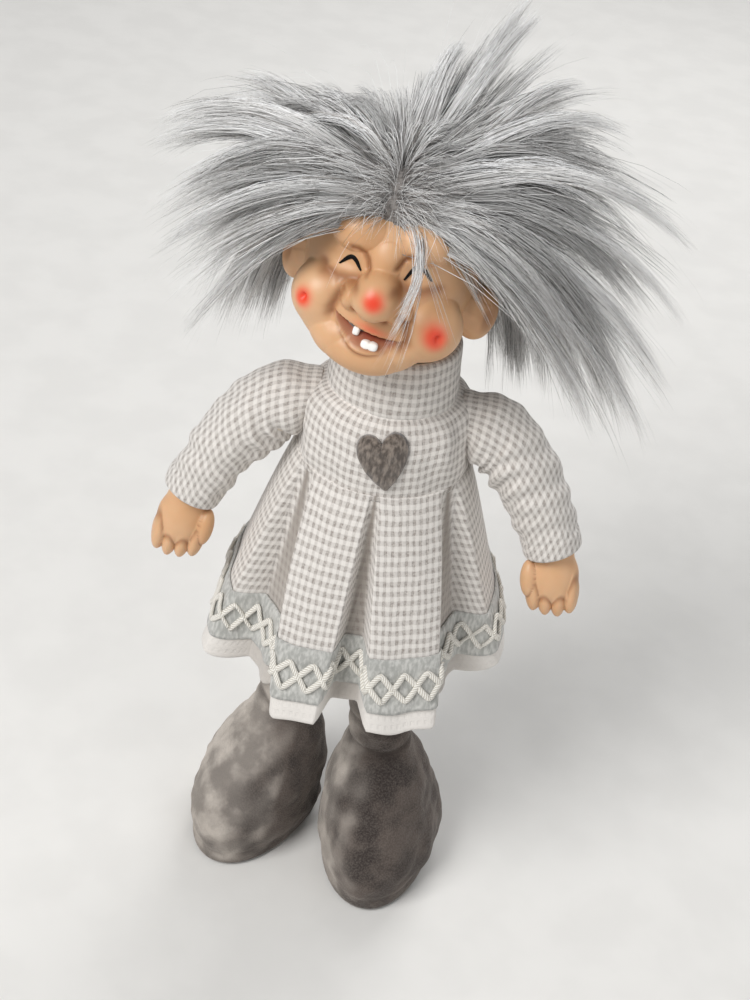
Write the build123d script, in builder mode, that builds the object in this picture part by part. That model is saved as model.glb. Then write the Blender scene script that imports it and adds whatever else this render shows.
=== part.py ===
from build123d import *
import math
import os

# A standing troll girl: vinyl head and hands, stuffed cloth body, checked dress, plush boots.
# Millimetres, +Z up, facing -Y. The origin is on the floor below the body's axis.
# "left" is the figure's own left, at +X.

# Fits
GAP = 0.3  # between pieces that turn on each other, and between cloth and what it covers
CLOTH = 1.5  # thickness of the dress cloth with its lining
SIDES = {"left": 1, "right": -1}

# Boots and legs
BOOT_TOE = 44.0  # boot's axis to the toe
BOOT_HEEL = 21.0  # boot's axis to the heel
BOOT_WIDTH = 49.0
BOOT_HEIGHT = 56.0  # floor to where the bulb ends and the shaft starts
BALL_HEIGHT = 18.0  # floor to the widest part, above which the boot's axis leans inwards
SHAFT_RADIUS = 12.8
SHAFT_TOP = 98.0  # floor to the top of the boot's shaft
SOLE_THICKNESS = 2.5
WEIGHT_RADIUS = 16.0  # pellet bag
WEIGHT_HEIGHT = 12.0
BOOT_SPREAD = 24.9  # middle of the stance to each boot's axis, on the floor
SHAFT_SPREAD = 13.3  # the same at the top of the shafts
STANCE_SHIFT = -2.5  # how far the feet stand towards the figure's right
STEP = 4.8  # how far the left foot is ahead of the body's axis, and the right behind it
TOE_TURN = {"left": -4.0, "right": -20.0}  # degrees about +Z
LEG_RADIUS = 10.5
LEG_BOTTOM = 60.0  # floor to the end of the leg inside the boot
HIP_Z = 150.0
HIP_SPREAD = 13.5
HIP_RADIUS = 12.0  # rounded top of the leg
# share of the way from the sole to the shaft, then of the half width, toe and heel
BOOT_SECTIONS = [
    (0.0, 0.84, 0.88, 0.86),
    (0.1, 0.95, 0.97, 0.96),
    (0.28, 1.0, 1.0, 1.0),
    (0.46, 0.95, 0.92, 0.97),
    (0.64, 0.83, 0.74, 0.90),
    (0.82, 0.68, 0.52, 0.78),
]

# Torso: height above the hip, half width, half depth
TORSO_SECTIONS = [
    (4.0, 28.5, 20.5),
    (14.0, 30.5, 23.5),
    (28.0, 29.0, 25.0),
    (40.0, 27.6, 26.0),
    (52.0, 27.2, 25.2),
    (60.0, 25.4, 23.4),
    (66.5, 21.8, 20.8),
]
WAIST_RISE = 40.0  # hip to the waist seam
NECK_RISE = 66.5  # hip to the collar's foot

# Skirt
SKIRT_LENGTH = 79.0
SKIRT_HALF_WIDTH = 54.0  # at the hem
SKIRT_FRONT = 57.0
SKIRT_BACK = 50.0
HEM_SQUARENESS = 3.0  # power of the hem's outline: 2 is an ellipse, more is squarer
PLEAT_DEPTH = 14.0  # at the hem; the pleats close at the waist
PLEAT_START = 0.5  # depth at the waist
PLEAT_FOOT = 1.2  # half width of a pleat's bottom
# degrees round from the front to the two folds of each panel
WAIST_FOLDS = [(4, 44), (62, 118), (136, 176), (184, 224), (242, 298), (316, 356)]
HEM_FOLDS = [(4, 27), (81, 115), (159, 176), (184, 201), (250, 287), (344, 356)]
SKIRT_STEPS = [0.0, 0.4]  # shares of the length where the outline is drawn above the trim
FLARE_POWER = 0.9  # under 1 the skirt springs out below the waist
HEM_BORDER = 7.5  # plain edge below the ribbon
RIBBON_HEIGHT = 19.0
RIBBON_THICKNESS = 0.6
BRAID_HEIGHT = 12.0
BRAID_THICKNESS = 1.0
TRIM_GAP = 0.1  # trim to the cloth under it

# Heart
HEART_WIDTH = 17.0
HEART_HEIGHT = 20.0
HEART_THICKNESS = 1.6
HEART_RISE = 14.0  # waist seam to the heart's centre
HEART_DIP = 0.3  # shares of the height and width that shape its outline
HEART_LOBE = 0.28
HEART_FLANK = 0.2
HEART_BELLY = (0.34, 0.14)

# Collar and neck
COLLAR_RADIUS = 22.5
COLLAR_WALL = 4.4
COLLAR_HEIGHT = 19.5
COLLAR_ROUNDING = 1.9  # of the folded upper edge
NECK_BALL = 12.5  # stuffed foot of the neck, which nods in the torso
NECK_RADIUS = 11.3
NECK_HEIGHT = 21.0  # pivot to the neck's upper edge
PIVOT_RISE = 1.0  # collar's foot to the nodding pivot
PLUG_RADIUS = 9.0  # vinyl neck plug of the head
PLUG_DEPTH = 18.0  # how far the plug reaches into the neck
TIE_WIDTH = 2.0
TIE_THICKNESS = 1.2
TIE_RISE = 15.0  # pivot to the neck tie

# Arms and hands, along the arm from the shoulder's centre
SHOULDER_SPREAD = 39.0
SHOULDER_RISE = 18.0  # waist seam to the shoulder's centre
CUFF_OUT = 24.5  # shoulder to cuff, sideways
CUFF_FORWARD = 8.0
CUFF_DOWN = 43.0
SLEEVE_RADIUS = 13.0  # at the shoulder
CUFF_RADIUS = 10.2
SLEEVE_WALL = 1.3
WRIST_RADIUS = 6.5
WRIST_DEPTH = 18.0  # how far the wrist reaches into the sleeve
ARM_END = 8.0  # stuffed arm's end, back from the cuff
BOUND_LENGTH = 8.0  # stretch of the stuffed arm bound on to the wrist
BOUND_RADIUS = 8.1
HAND_LENGTH = 25.0
HAND_WIDTH = 21.0
HAND_THICKNESS = 17.0
HAND_STAND = 1.5  # cuff to the root of the palm
HAND_OUT, HAND_FORWARD, HAND_DOWN = 0.14, 0.25, 0.96  # the way that the fist points
THUMB_RADIUS, THUMB_SHARE = 4.2, 0.52  # size, and share of the hand's length down to its middle
PALM_SECTIONS = [(0.0, 0.72, 0.86), (0.3, 0.88, 0.96), (0.62, 1.0, 1.0), (0.86, 0.92, 0.86)]  # shares
FINGER_RADIUS = 3.1
FINGER_REACHES = [1.6, 0.4, 0.0, 1.0]  # how far each finger falls short of the longest

# Head, in its own frame: the origin is the middle of the cranium
HEAD_OUT = 3.0  # body axis to the head's middle, forwards
HEAD_ASIDE = 6.0  # and towards the figure's right
HEAD_RISE = 48.5  # nodding pivot to the head's middle
HEAD_YAW, HEAD_PITCH, HEAD_ROLL = -7.0, -11.0, 6.0  # degrees: left or right, up or down, sideways
HEAD_HALF_WIDTH = 26.5
HEAD_FRONT = 27.5
HEAD_BACK = 27.0
HEAD_UP = 28.0
HEAD_DOWN = 29.0
# share of the height above or below the middle, then of the half width, front and back
HEAD_SECTIONS = [
    (-1.0, 0.36, 0.80, 0.10),
    (-0.88, 0.60, 0.93, 0.42),
    (-0.60, 0.88, 1.00, 0.76),
    (-0.25, 1.00, 1.02, 0.95),
    (0.15, 1.00, 0.97, 1.00),
    (0.50, 0.90, 0.89, 0.90),
    (0.80, 0.63, 0.65, 0.63),
    (0.95, 0.33, 0.34, 0.33),
]
HOLLOW_RADIUS, HOLLOW_RISE = 20.0, 3.0  # space inside the vinyl
PLUG_WALL = 2.5
CHEEK_RADIUS, CHEEK_OUT, CHEEK_AHEAD, CHEEK_DROP = 11.0, 17.0, 16.0, 14.0
NOSE_RADIUS, NOSE_AHEAD, NOSE_DROP = 8.2, 30.5, 3.5
NOSTRIL_RADIUS, NOSTRIL_OUT, NOSTRIL_AHEAD, NOSTRIL_DROP = 4.2, 6.4, 26.5, 7.2
CHIN_RADIUS, CHIN_AHEAD, CHIN_DROP = 8.0, 23.0, 24.0
BROW_RADIUS, BROW_OUT, BROW_AHEAD, BROW_RISE = 8.0, 9.5, 20.5, 11.0
MOUTH_WIDTH, MOUTH_HEIGHT, MOUTH_DROP, MOUTH_DEPTH = 21.5, 5.5, 17.5, 4.0
MOUTH_SMILE = 2.0  # how far its corners rise above the middle of the upper lip
TOOTH_WIDTH, TOOTH_HEIGHT, TOOTH_ROUNDING, TOOTH_DEPTH = 5.0, 3.0, 1.0, 3.2
TOOTH_PLACES = [(-4.0, 0.2), (1.0, -4.6)]  # sideways, and up from the middle of the upper lip
EAR_HEIGHT, EAR_WIDTH, EAR_REACH, EAR_DROP = 18.0, 12.0, 6.5, 9.0
EAR_SECTIONS = [(-1.0, 0.6), (0.5, 1.0), (1.0, 0.6)]  # share of the reach, then of height and width
COLLAR_ROOM = 6.5  # free height between the head and the collar, for nodding
COLLAR_CLEAR = 2.0  # free width around it

# Wig
WIG_BASE = 3.0  # thickness of the fur's backing and undercoat
HAIRLINE_RISE = 5.0  # head's middle to the hairline, at the ears
HAIRLINE_SLOPE = 24.0  # degrees that the hairline drops towards the back
LOCK_WIDTH = 12.0  # half width of a lock at its widest
LOCK_THICKNESS = 6.5  # half thickness there
LOCK_ROOT = 27.5  # cranium's middle to where a lock starts, inside the backing
LOCK_STEPS = [(0.0, 0.75), (0.3, 1.0), (0.6, 0.9), (0.85, 0.55), (1.0, 0.08)]  # share of length, of width
# Each gore: its two edges in degrees round from the front, then its locks:
# degrees round, degrees up on the cranium, reach outwards, rise of the tip, lift of the bow between
WIG_GORES = {
    "front": (
        (-52, 52),
        [
            (-36, 46, 34, -4, 14),
            (-14, 56, 22, 6, 12),
            (10, 58, 24, 4, 12),
            (28, 48, 36, -10, 18),
            (44, 40, 48, -24, 22),
        ],
    ),
    "left": (
        (52, 128),
        [
            (62, 32, 55, -34, 20),
            (75, 45, 66, -40, 26),
            (90, 30, 68, -62, 22),
            (98, 56, 74, -4, 26),
            (112, 34, 62, -50, 22),
            (122, 50, 62, 6, 22),
        ],
    ),
    "back": (
        (128, 232),
        [
            (138, 34, 50, -34, 18),
            (154, 62, 52, 42, 8),
            (164, 44, 52, 6, 20),
            (180, 34, 46, -30, 18),
            (182, 74, 46, 26, 12),
            (204, 56, 54, 16, 16),
            (222, 34, 48, -34, 18),
        ],
    ),
    "right": (
        (232, 308),
        [
            (242, 34, 48, -40, 20),
            (256, 52, 62, 8, 22),
            (270, 30, 50, -56, 20),
            (284, 50, 58, -14, 24),
            (298, 32, 48, -34, 18),
        ],
    ),
}

# Places worked out from the sizes
WAIST_Z = HIP_Z + WAIST_RISE
HEM_Z = WAIST_Z - SKIRT_LENGTH
COLLAR_Z = HIP_Z + NECK_RISE
PIVOT_Z = COLLAR_Z + PIVOT_RISE
SHOULDER_Z = WAIST_Z + SHOULDER_RISE
SLEEVE_LENGTH = math.hypot(CUFF_OUT, CUFF_FORWARD, CUFF_DOWN)

os.makedirs("parts", exist_ok=True)


def finish(builder, name):
    """Labels a finished piece and writes it under its node's name."""
    builder.part.label = name
    export_step(builder.part, f"parts/{name}.step")


def oval(half_width, front, back):
    """Egg outline of four quarter ellipses that meet square on the axes, with its front towards -Y."""
    with BuildLine() as outline:
        EllipticalCenterArc((0, 0), half_width, back, 0)
        EllipticalCenterArc((0, 0), half_width, back, 90)
        EllipticalCenterArc((0, 0), half_width, front, 180)
        EllipticalCenterArc((0, 0), half_width, front, 270)
    make_face(outline.edges())


# Boots and legs


def boot_plane(side, height):
    """A level plane on the boot's leaning axis, turned so that -Y is the way the toe points."""
    share = max(height - BALL_HEIGHT, 0) / (SHAFT_TOP - BALL_HEIGHT)
    spread = BOOT_SPREAD + share * (SHAFT_SPREAD - BOOT_SPREAD)
    middle = (STANCE_SHIFT + SIDES[side] * spread, -SIDES[side] * STEP, height)
    return Plane(middle).rotated((0, 0, TOE_TURN[side]))


def round_limb(planes, radius, mode=Mode.ADD):
    """A limb that runs straight from each plane's middle to the next."""
    sections = []
    for plane in planes:
        with BuildSketch(plane) as section:
            oval(radius, radius, radius)
        sections.append(section.sketch)
    loft(sections, ruled=True, mode=mode)


for side in SIDES:
    upper_height = BOOT_HEIGHT - SOLE_THICKNESS
    sole_shares = BOOT_SECTIONS[0][1:]
    shaft_top = boot_plane(side, SHAFT_TOP)
    leg_bottom = boot_plane(side, LEG_BOTTOM)

    with BuildPart() as boot_sole:
        with BuildSketch(boot_plane(side, 0)):
            oval(BOOT_WIDTH / 2 * sole_shares[0], BOOT_TOE * sole_shares[1], BOOT_HEEL * sole_shares[2])
        extrude(amount=SOLE_THICKNESS)
    finish(boot_sole, f"boot_sole_{side}")

    with BuildPart() as boot:
        for rise, width, toe, heel in BOOT_SECTIONS:
            with BuildSketch(boot_plane(side, SOLE_THICKNESS + rise * upper_height)):
                oval(BOOT_WIDTH / 2 * width, BOOT_TOE * toe, BOOT_HEEL * heel)
        with BuildSketch(boot_plane(side, BOOT_HEIGHT)):
            oval(SHAFT_RADIUS, SHAFT_RADIUS, SHAFT_RADIUS)
        loft()
        round_limb([boot_plane(side, BOOT_HEIGHT), shaft_top], SHAFT_RADIUS)
        round_limb([leg_bottom, shaft_top], LEG_RADIUS + GAP, mode=Mode.SUBTRACT)
        with BuildSketch(boot_plane(side, SOLE_THICKNESS)):
            with Locations((0, (BOOT_HEEL - BOOT_TOE) / 2)):
                Circle(WEIGHT_RADIUS + GAP)
        extrude(amount=WEIGHT_HEIGHT + GAP, mode=Mode.SUBTRACT)
    finish(boot, f"boot_{side}")

    with BuildPart() as boot_weight:
        with BuildSketch(boot_plane(side, SOLE_THICKNESS)):
            with Locations((0, (BOOT_HEEL - BOOT_TOE) / 2)):
                Circle(WEIGHT_RADIUS)
        extrude(amount=WEIGHT_HEIGHT)
        fillet(boot_weight.edges().group_by(Axis.Z)[-1], WEIGHT_HEIGHT / 3)
    finish(boot_weight, f"boot_weight_{side}")

    with BuildPart() as stuffed_leg:
        hip = (SIDES[side] * HIP_SPREAD, 0, HIP_Z)
        hip_plane = Plane(hip).rotated((0, 0, TOE_TURN[side]))
        round_limb([leg_bottom, shaft_top], LEG_RADIUS)
        round_limb([shaft_top, hip_plane], LEG_RADIUS)
        with Locations(hip):
            Sphere(HIP_RADIUS)
    finish(stuffed_leg, f"stuffed_leg_{side}")

# Torso and dress


def torso_loft(grow, mode=Mode.ADD):
    """The torso's outer form, grown evenly by a layer of cloth or a gap."""
    sections = []
    for rise, half_width, half_depth in TORSO_SECTIONS:
        with BuildSketch(Plane.XY.offset(HIP_Z + rise)) as section:
            oval(half_width + grow, half_depth + grow, half_depth + grow)
        sections.append(section.sketch)
    loft(sections, mode=mode)


def clear_shoulders():
    """Cuts the two round armholes that the sleeve caps turn in."""
    for sign in SIDES.values():
        with Locations((sign * SHOULDER_SPREAD, 0, SHOULDER_Z)):
            Sphere(SLEEVE_RADIUS + GAP, mode=Mode.SUBTRACT)


with BuildPart() as stuffed_torso:
    torso_loft(0)
    clear_shoulders()
    with Locations((0, 0, PIVOT_Z)):
        Sphere(NECK_BALL + GAP, mode=Mode.SUBTRACT)
    for sign in SIDES.values():
        with Locations((sign * HIP_SPREAD, 0, HIP_Z)):
            Sphere(HIP_RADIUS + GAP, mode=Mode.SUBTRACT)
finish(stuffed_torso, "stuffed_torso")

with BuildPart() as bodice:
    torso_loft(GAP + CLOTH)
    torso_loft(GAP, mode=Mode.SUBTRACT)
    split(bisect_by=Plane.XY.offset(WAIST_Z), keep=Keep.TOP)
    clear_shoulders()
finish(bodice, "bodice")

with BuildPart() as collar:
    with BuildSketch(Plane.XY.offset(COLLAR_Z)):
        Circle(COLLAR_RADIUS)
        Circle(COLLAR_RADIUS - COLLAR_WALL, mode=Mode.SUBTRACT)
    extrude(amount=COLLAR_HEIGHT)
    fillet(collar.edges().group_by(Axis.Z)[-1], min(COLLAR_ROUNDING, 0.49 * COLLAR_WALL))
finish(collar, "collar")


def torso_half(rise):
    """Half width and half depth of the torso at a height above the hip, between two of its sections."""
    for (low, *below), (high, *above) in zip(TORSO_SECTIONS, TORSO_SECTIONS[1:]):
        if low <= rise <= high:
            share = (rise - low) / (high - low)
            return [a + share * (b - a) for a, b in zip(below, above)]
    return TORSO_SECTIONS[-1][1:]


def skirt_outline(share, grow):
    """The pleated outline at a share of the skirt's length, grown outwards by a layer or inwards if negative."""
    waist_width, waist_depth = (half + GAP + CLOTH + PLEAT_START for half in torso_half(WAIST_RISE))
    flare = share**FLARE_POWER
    half_width = waist_width + flare * (SKIRT_HALF_WIDTH - waist_width)
    front = waist_depth + flare * (SKIRT_FRONT - waist_depth)
    back = waist_depth + flare * (SKIRT_BACK - waist_depth)
    depth = PLEAT_START + share * (PLEAT_DEPTH - PLEAT_START)
    foot = max(PLEAT_FOOT - grow, TRIM_GAP)
    power = 2 / (2 + share * (HEM_SQUARENESS - 2))

    def place(degrees, inwards=0.0, sideways=0.0):
        sine, cosine = math.sin(math.radians(degrees)), math.cos(math.radians(degrees))
        reach = front if cosine > 0 else back
        x = math.copysign(abs(sine) ** power, sine) * (half_width + grow - inwards)
        y = -math.copysign(abs(cosine) ** power, cosine) * (reach + grow - inwards)
        return x + sideways * cosine, y + sideways * sine

    panels = []
    for (waist_from, waist_to), (hem_from, hem_to) in zip(WAIST_FOLDS, HEM_FOLDS):
        start = waist_from + share * (hem_from - waist_from)
        end = waist_to + share * (hem_to - waist_to)
        panels.append((start, end))
    with BuildLine() as outline:
        for (start, end), (after, _) in zip(panels, panels[1:] + [(panels[0][0] + 360, None)]):
            pleat = (end + after) / 2
            fold, next_fold = place(end, sideways=grow), place(after, sideways=-grow)
            ThreePointArc(place(start, sideways=-grow), place((start + end) / 2), fold)
            Polyline(fold, place(pleat, depth, -foot), place(pleat, depth, foot), next_fold)
    make_face(outline.edges())


TRIM_SHARE = 1 - (HEM_BORDER + RIBBON_HEIGHT) / SKIRT_LENGTH  # where the ribbon's upper edge lies


def skirt_loft(shares, grow, mode=Mode.ADD):
    """The skirt's outer form between the given shares of its length, grown by a layer."""
    sections = []
    for share in shares:
        with BuildSketch(Plane.XY.offset(WAIST_Z - share * SKIRT_LENGTH)) as section:
            skirt_outline(share, grow)
        sections.append(section.sketch)
    loft(sections, ruled=True, mode=mode)


def keep_band(bottom, height):
    """Keeps only the stretch of a given height that starts above the hem."""
    split(bisect_by=Plane.XY.offset(HEM_Z + bottom), keep=Keep.TOP)
    split(bisect_by=Plane.XY.offset(HEM_Z + bottom + height), keep=Keep.BOTTOM)


with BuildPart() as skirt:
    skirt_loft(SKIRT_STEPS + [TRIM_SHARE, 1.0], 0)
    skirt_loft(SKIRT_STEPS + [TRIM_SHARE, 1.0], -CLOTH, mode=Mode.SUBTRACT)
finish(skirt, "skirt")

with BuildPart() as hem_ribbon:
    skirt_loft([TRIM_SHARE, 1.0], TRIM_GAP + RIBBON_THICKNESS)
    skirt_loft([TRIM_SHARE, 1.0], TRIM_GAP, mode=Mode.SUBTRACT)
    keep_band(HEM_BORDER, RIBBON_HEIGHT)
finish(hem_ribbon, "hem_ribbon")

with BuildPart() as hem_braid:
    skirt_loft([TRIM_SHARE, 1.0], 2 * TRIM_GAP + RIBBON_THICKNESS + BRAID_THICKNESS)
    skirt_loft([TRIM_SHARE, 1.0], 2 * TRIM_GAP + RIBBON_THICKNESS, mode=Mode.SUBTRACT)
    keep_band(HEM_BORDER + (RIBBON_HEIGHT - BRAID_HEIGHT) / 2, BRAID_HEIGHT)
finish(hem_braid, "hem_braid")

with BuildPart() as heart:
    torso_loft(GAP + CLOTH + TRIM_GAP + HEART_THICKNESS)
    torso_loft(GAP + CLOTH + TRIM_GAP, mode=Mode.SUBTRACT)
    with BuildSketch(Plane((0, 0, WAIST_Z + HEART_RISE), x_dir=(1, 0, 0), z_dir=(0, -1, 0))):
        with BuildLine():
            dip = (0, HEART_HEIGHT * HEART_DIP)
            lobe = (HEART_WIDTH * HEART_LOBE, HEART_HEIGHT / 2)
            flank = (HEART_WIDTH / 2, HEART_HEIGHT * HEART_FLANK)
            belly = (HEART_WIDTH * HEART_BELLY[0], -HEART_HEIGHT * HEART_BELLY[1])
            tip = (0, -HEART_HEIGHT / 2)
            ThreePointArc(dip, lobe, flank)
            ThreePointArc(flank, belly, tip)
            mirror(about=Plane.YZ)
        make_face()
    extrude(amount=SKIRT_FRONT, mode=Mode.INTERSECT)
finish(heart, "heart")

# Neck

with BuildPart() as neck_cloth:
    with Locations((0, 0, PIVOT_Z)):
        Sphere(NECK_BALL)
    with BuildSketch(Plane.XY.offset(PIVOT_Z)):
        Circle(NECK_RADIUS)
    extrude(amount=NECK_HEIGHT)
    with BuildSketch(Plane.XY.offset(PIVOT_Z + NECK_HEIGHT - PLUG_DEPTH - GAP)):
        Circle(PLUG_RADIUS + GAP)
    extrude(amount=PLUG_DEPTH + GAP, mode=Mode.SUBTRACT)
finish(neck_cloth, "neck_cloth")

with BuildPart() as neck_tie:
    with BuildSketch(Plane.XY.offset(PIVOT_Z + TIE_RISE)):
        Circle(NECK_RADIUS + TRIM_GAP + TIE_THICKNESS)
        Circle(NECK_RADIUS + TRIM_GAP, mode=Mode.SUBTRACT)
    extrude(amount=TIE_WIDTH)
finish(neck_tie, "neck_tie")

# Arms and hands


def arm_plane(side):
    """The shoulder's centre, with +Z along the arm and X across it."""
    sign = SIDES[side]
    shoulder = (sign * SHOULDER_SPREAD, 0, SHOULDER_Z)
    along = (sign * CUFF_OUT, -CUFF_FORWARD, -CUFF_DOWN)
    return Plane(shoulder, x_dir=(sign, 0, CUFF_OUT / CUFF_DOWN), z_dir=along)


def hand_plane(side):
    """The root of the palm just outside the cuff, with +Z down along the fist and X away from the body."""
    sign = SIDES[side]
    root = arm_plane(side).from_local_coords((0, 0, SLEEVE_LENGTH + HAND_STAND))
    along = (sign * HAND_OUT, -HAND_FORWARD, -HAND_DOWN)
    return Plane(root, x_dir=(sign, 0, HAND_OUT / HAND_DOWN), z_dir=along)


def arm_revolve(side, shrink, end, mode=Mode.ADD):
    """A round cap and a tapering limb along the arm, shrunk by the layers around it."""
    plane = arm_plane(side)
    cap = SLEEVE_RADIUS - shrink
    share = end / SLEEVE_LENGTH
    end_radius = SLEEVE_RADIUS + share**2 * (CUFF_RADIUS - SLEEVE_RADIUS)
    half_radius = SLEEVE_RADIUS + (share / 2) ** 2 * (CUFF_RADIUS - SLEEVE_RADIUS)
    with BuildSketch(Plane(plane.origin, x_dir=plane.x_dir, z_dir=-plane.y_dir)) as half:
        with BuildLine():
            ThreePointArc((0, -cap), (cap * math.sin(math.pi / 4), -cap * math.cos(math.pi / 4)), (cap, 0))
            ThreePointArc((cap, 0), (half_radius - shrink, end / 2), (end_radius - shrink, end))
            Polyline((end_radius - shrink, end), (0, end), (0, -cap))
        make_face()
    revolve(half.sketch, axis=Axis(plane.origin, plane.z_dir), mode=mode)


for side, sign in SIDES.items():
    arm = arm_plane(side)
    arm_stop = SLEEVE_LENGTH - ARM_END
    wrist_start = SLEEVE_LENGTH - WRIST_DEPTH

    with BuildPart() as sleeve:
        arm_revolve(side, 0, SLEEVE_LENGTH)
        arm_revolve(side, SLEEVE_WALL, SLEEVE_LENGTH, mode=Mode.SUBTRACT)
    finish(sleeve, f"sleeve_{side}")

    with BuildPart() as stuffed_arm:
        arm_revolve(side, SLEEVE_WALL + GAP, arm_stop)
        with BuildSketch(arm.offset(arm_stop - BOUND_LENGTH)):
            Circle(SLEEVE_RADIUS)
            Circle(BOUND_RADIUS, mode=Mode.SUBTRACT)
        extrude(amount=BOUND_LENGTH, mode=Mode.SUBTRACT)
        with BuildSketch(arm.offset(wrist_start - GAP)):
            Circle(WRIST_RADIUS + GAP)
        extrude(amount=WRIST_DEPTH, mode=Mode.SUBTRACT)
    finish(stuffed_arm, f"stuffed_arm_{side}")

    with BuildPart() as wrist_tie:
        with BuildSketch(arm.offset(arm_stop - BOUND_LENGTH / 2 - TIE_WIDTH / 2)):
            Circle(BOUND_RADIUS + TRIM_GAP + TIE_THICKNESS / 2)
            Circle(BOUND_RADIUS + TRIM_GAP, mode=Mode.SUBTRACT)
        extrude(amount=TIE_WIDTH)
    finish(wrist_tie, f"wrist_tie_{side}")

    with BuildPart() as hand:
        fist = hand_plane(side)
        for share, width, thickness in PALM_SECTIONS:
            with BuildSketch(fist.offset(share * HAND_LENGTH)):
                oval(HAND_WIDTH / 2 * width, HAND_THICKNESS / 2 * thickness, HAND_THICKNESS / 2 * thickness)
        loft()
        with BuildSketch(arm.offset(wrist_start)):
            Circle(WRIST_RADIUS)
        extrude(amount=WRIST_DEPTH + 2 * HAND_STAND)
        fingers = len(FINGER_REACHES)
        finger_pitch = (HAND_WIDTH - 2 * FINGER_RADIUS) / (fingers - 1)
        knuckles = [
            ((row - (fingers - 1) / 2) * finger_pitch, 0, HAND_LENGTH - FINGER_RADIUS - reach)
            for row, reach in enumerate(FINGER_REACHES)
        ]
        thumb = (-HAND_WIDTH / 2 + THUMB_RADIUS / 3, 0, THUMB_SHARE * HAND_LENGTH)
        for radius, places in ((FINGER_RADIUS, knuckles), (THUMB_RADIUS, [thumb])):
            for place in places:
                with Locations(Location(Plane(fist.from_local_coords(place), fist.x_dir, fist.z_dir))):
                    Sphere(radius)
    finish(hand, f"hand_{side}")

# Head

HEAD_MIDDLE = (-HEAD_ASIDE, -HEAD_OUT, PIVOT_Z + HEAD_RISE)
HEAD = (
    Plane(HEAD_MIDDLE)
    .rotated((0, 0, HEAD_YAW))
    .rotated((HEAD_PITCH, 0, 0))
    .rotated((0, HEAD_ROLL, 0))
)


def head_loft(grow, mode=Mode.ADD):
    """Skull, jaw and nape without the features, grown evenly by a layer."""
    sections = []
    for rise, width, front, back in HEAD_SECTIONS:
        height = rise * ((HEAD_UP if rise > 0 else HEAD_DOWN) + grow)
        with BuildSketch(HEAD.offset(height)) as section:
            oval(HEAD_HALF_WIDTH * width + grow, HEAD_FRONT * front + grow, HEAD_BACK * back + grow)
        sections.append(section.sketch)
    loft(sections, mode=mode)


def head_ball(out, ahead, rise, radius, mode=Mode.ADD):
    """A rounded swelling of the head, placed in the head's own frame, its pole pointing out of the head."""
    middle = HEAD.from_local_coords((out, -ahead, rise))
    outward = middle - HEAD.origin
    with Locations(Plane(middle, z_dir=outward if outward.length else HEAD.z_dir)):
        Sphere(radius, mode=mode)


def brows(grow, mode=Mode.ADD):
    """The two rounded brows over the eyes, grown evenly by a layer."""
    for sign in SIDES.values():
        head_ball(sign * BROW_OUT, BROW_AHEAD, BROW_RISE, BROW_RADIUS + grow, mode)


def face_plane(ahead):
    """A plane across the head that looks forwards, with its Y upwards."""
    return Plane(HEAD.from_local_coords((0, -ahead, 0)), x_dir=HEAD.x_dir, z_dir=-HEAD.y_dir)


with BuildPart() as head_shell:
    head_loft(0)
    brows(0)
    for sign in SIDES.values():
        head_ball(sign * CHEEK_OUT, CHEEK_AHEAD, -CHEEK_DROP, CHEEK_RADIUS)
        head_ball(sign * NOSTRIL_OUT, NOSTRIL_AHEAD, -NOSTRIL_DROP, NOSTRIL_RADIUS)
        for reach, share in EAR_SECTIONS:
            out = HEAD.from_local_coords((sign * (HEAD_HALF_WIDTH + reach * EAR_REACH), 0, -EAR_DROP))
            with BuildSketch(Plane(out, x_dir=HEAD.y_dir, z_dir=sign * HEAD.x_dir)):
                oval(EAR_WIDTH / 2 * share, EAR_HEIGHT / 2 * share, EAR_HEIGHT / 2 * share)
        loft()
    head_ball(0, NOSE_AHEAD, -NOSE_DROP, NOSE_RADIUS)
    head_ball(0, CHIN_AHEAD, -CHIN_DROP, CHIN_RADIUS)
    with BuildSketch(Plane.XY.offset(COLLAR_Z)):
        Circle(COLLAR_RADIUS + COLLAR_CLEAR)
    extrude(amount=COLLAR_HEIGHT + COLLAR_ROOM, mode=Mode.SUBTRACT)
    with BuildSketch(Plane.XY.offset(PIVOT_Z + NECK_HEIGHT - PLUG_DEPTH)):
        Circle(PLUG_RADIUS)
    extrude(amount=PLUG_DEPTH + COLLAR_ROOM)
    with BuildSketch(face_plane(HEAD_FRONT - MOUTH_DEPTH)):
        with BuildLine():
            corner = (MOUTH_WIDTH / 2, MOUTH_SMILE - MOUTH_DROP)
            far_corner = (-MOUTH_WIDTH / 2, MOUTH_SMILE - MOUTH_DROP)
            ThreePointArc(corner, (0, -MOUTH_DROP), far_corner)
            ThreePointArc(corner, (0, -MOUTH_DROP - MOUTH_HEIGHT), far_corner)
        make_face()
    extrude(amount=HEAD_FRONT, mode=Mode.SUBTRACT)
    with BuildSketch(face_plane(HEAD_FRONT - MOUTH_DEPTH)):
        with Locations([(across, rise - MOUTH_DROP) for across, rise in TOOTH_PLACES]):
            RectangleRounded(TOOTH_WIDTH, TOOTH_HEIGHT, TOOTH_ROUNDING)
    extrude(amount=TOOTH_DEPTH)
    head_ball(0, 0, HOLLOW_RISE, HOLLOW_RADIUS, Mode.SUBTRACT)
    with BuildSketch(Plane.XY.offset(PIVOT_Z + NECK_HEIGHT - PLUG_DEPTH)):
        Circle(PLUG_RADIUS - PLUG_WALL)
    extrude(amount=HEAD_RISE + PLUG_DEPTH - NECK_HEIGHT, mode=Mode.SUBTRACT)
finish(head_shell, "head_shell")

# Wig


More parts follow.
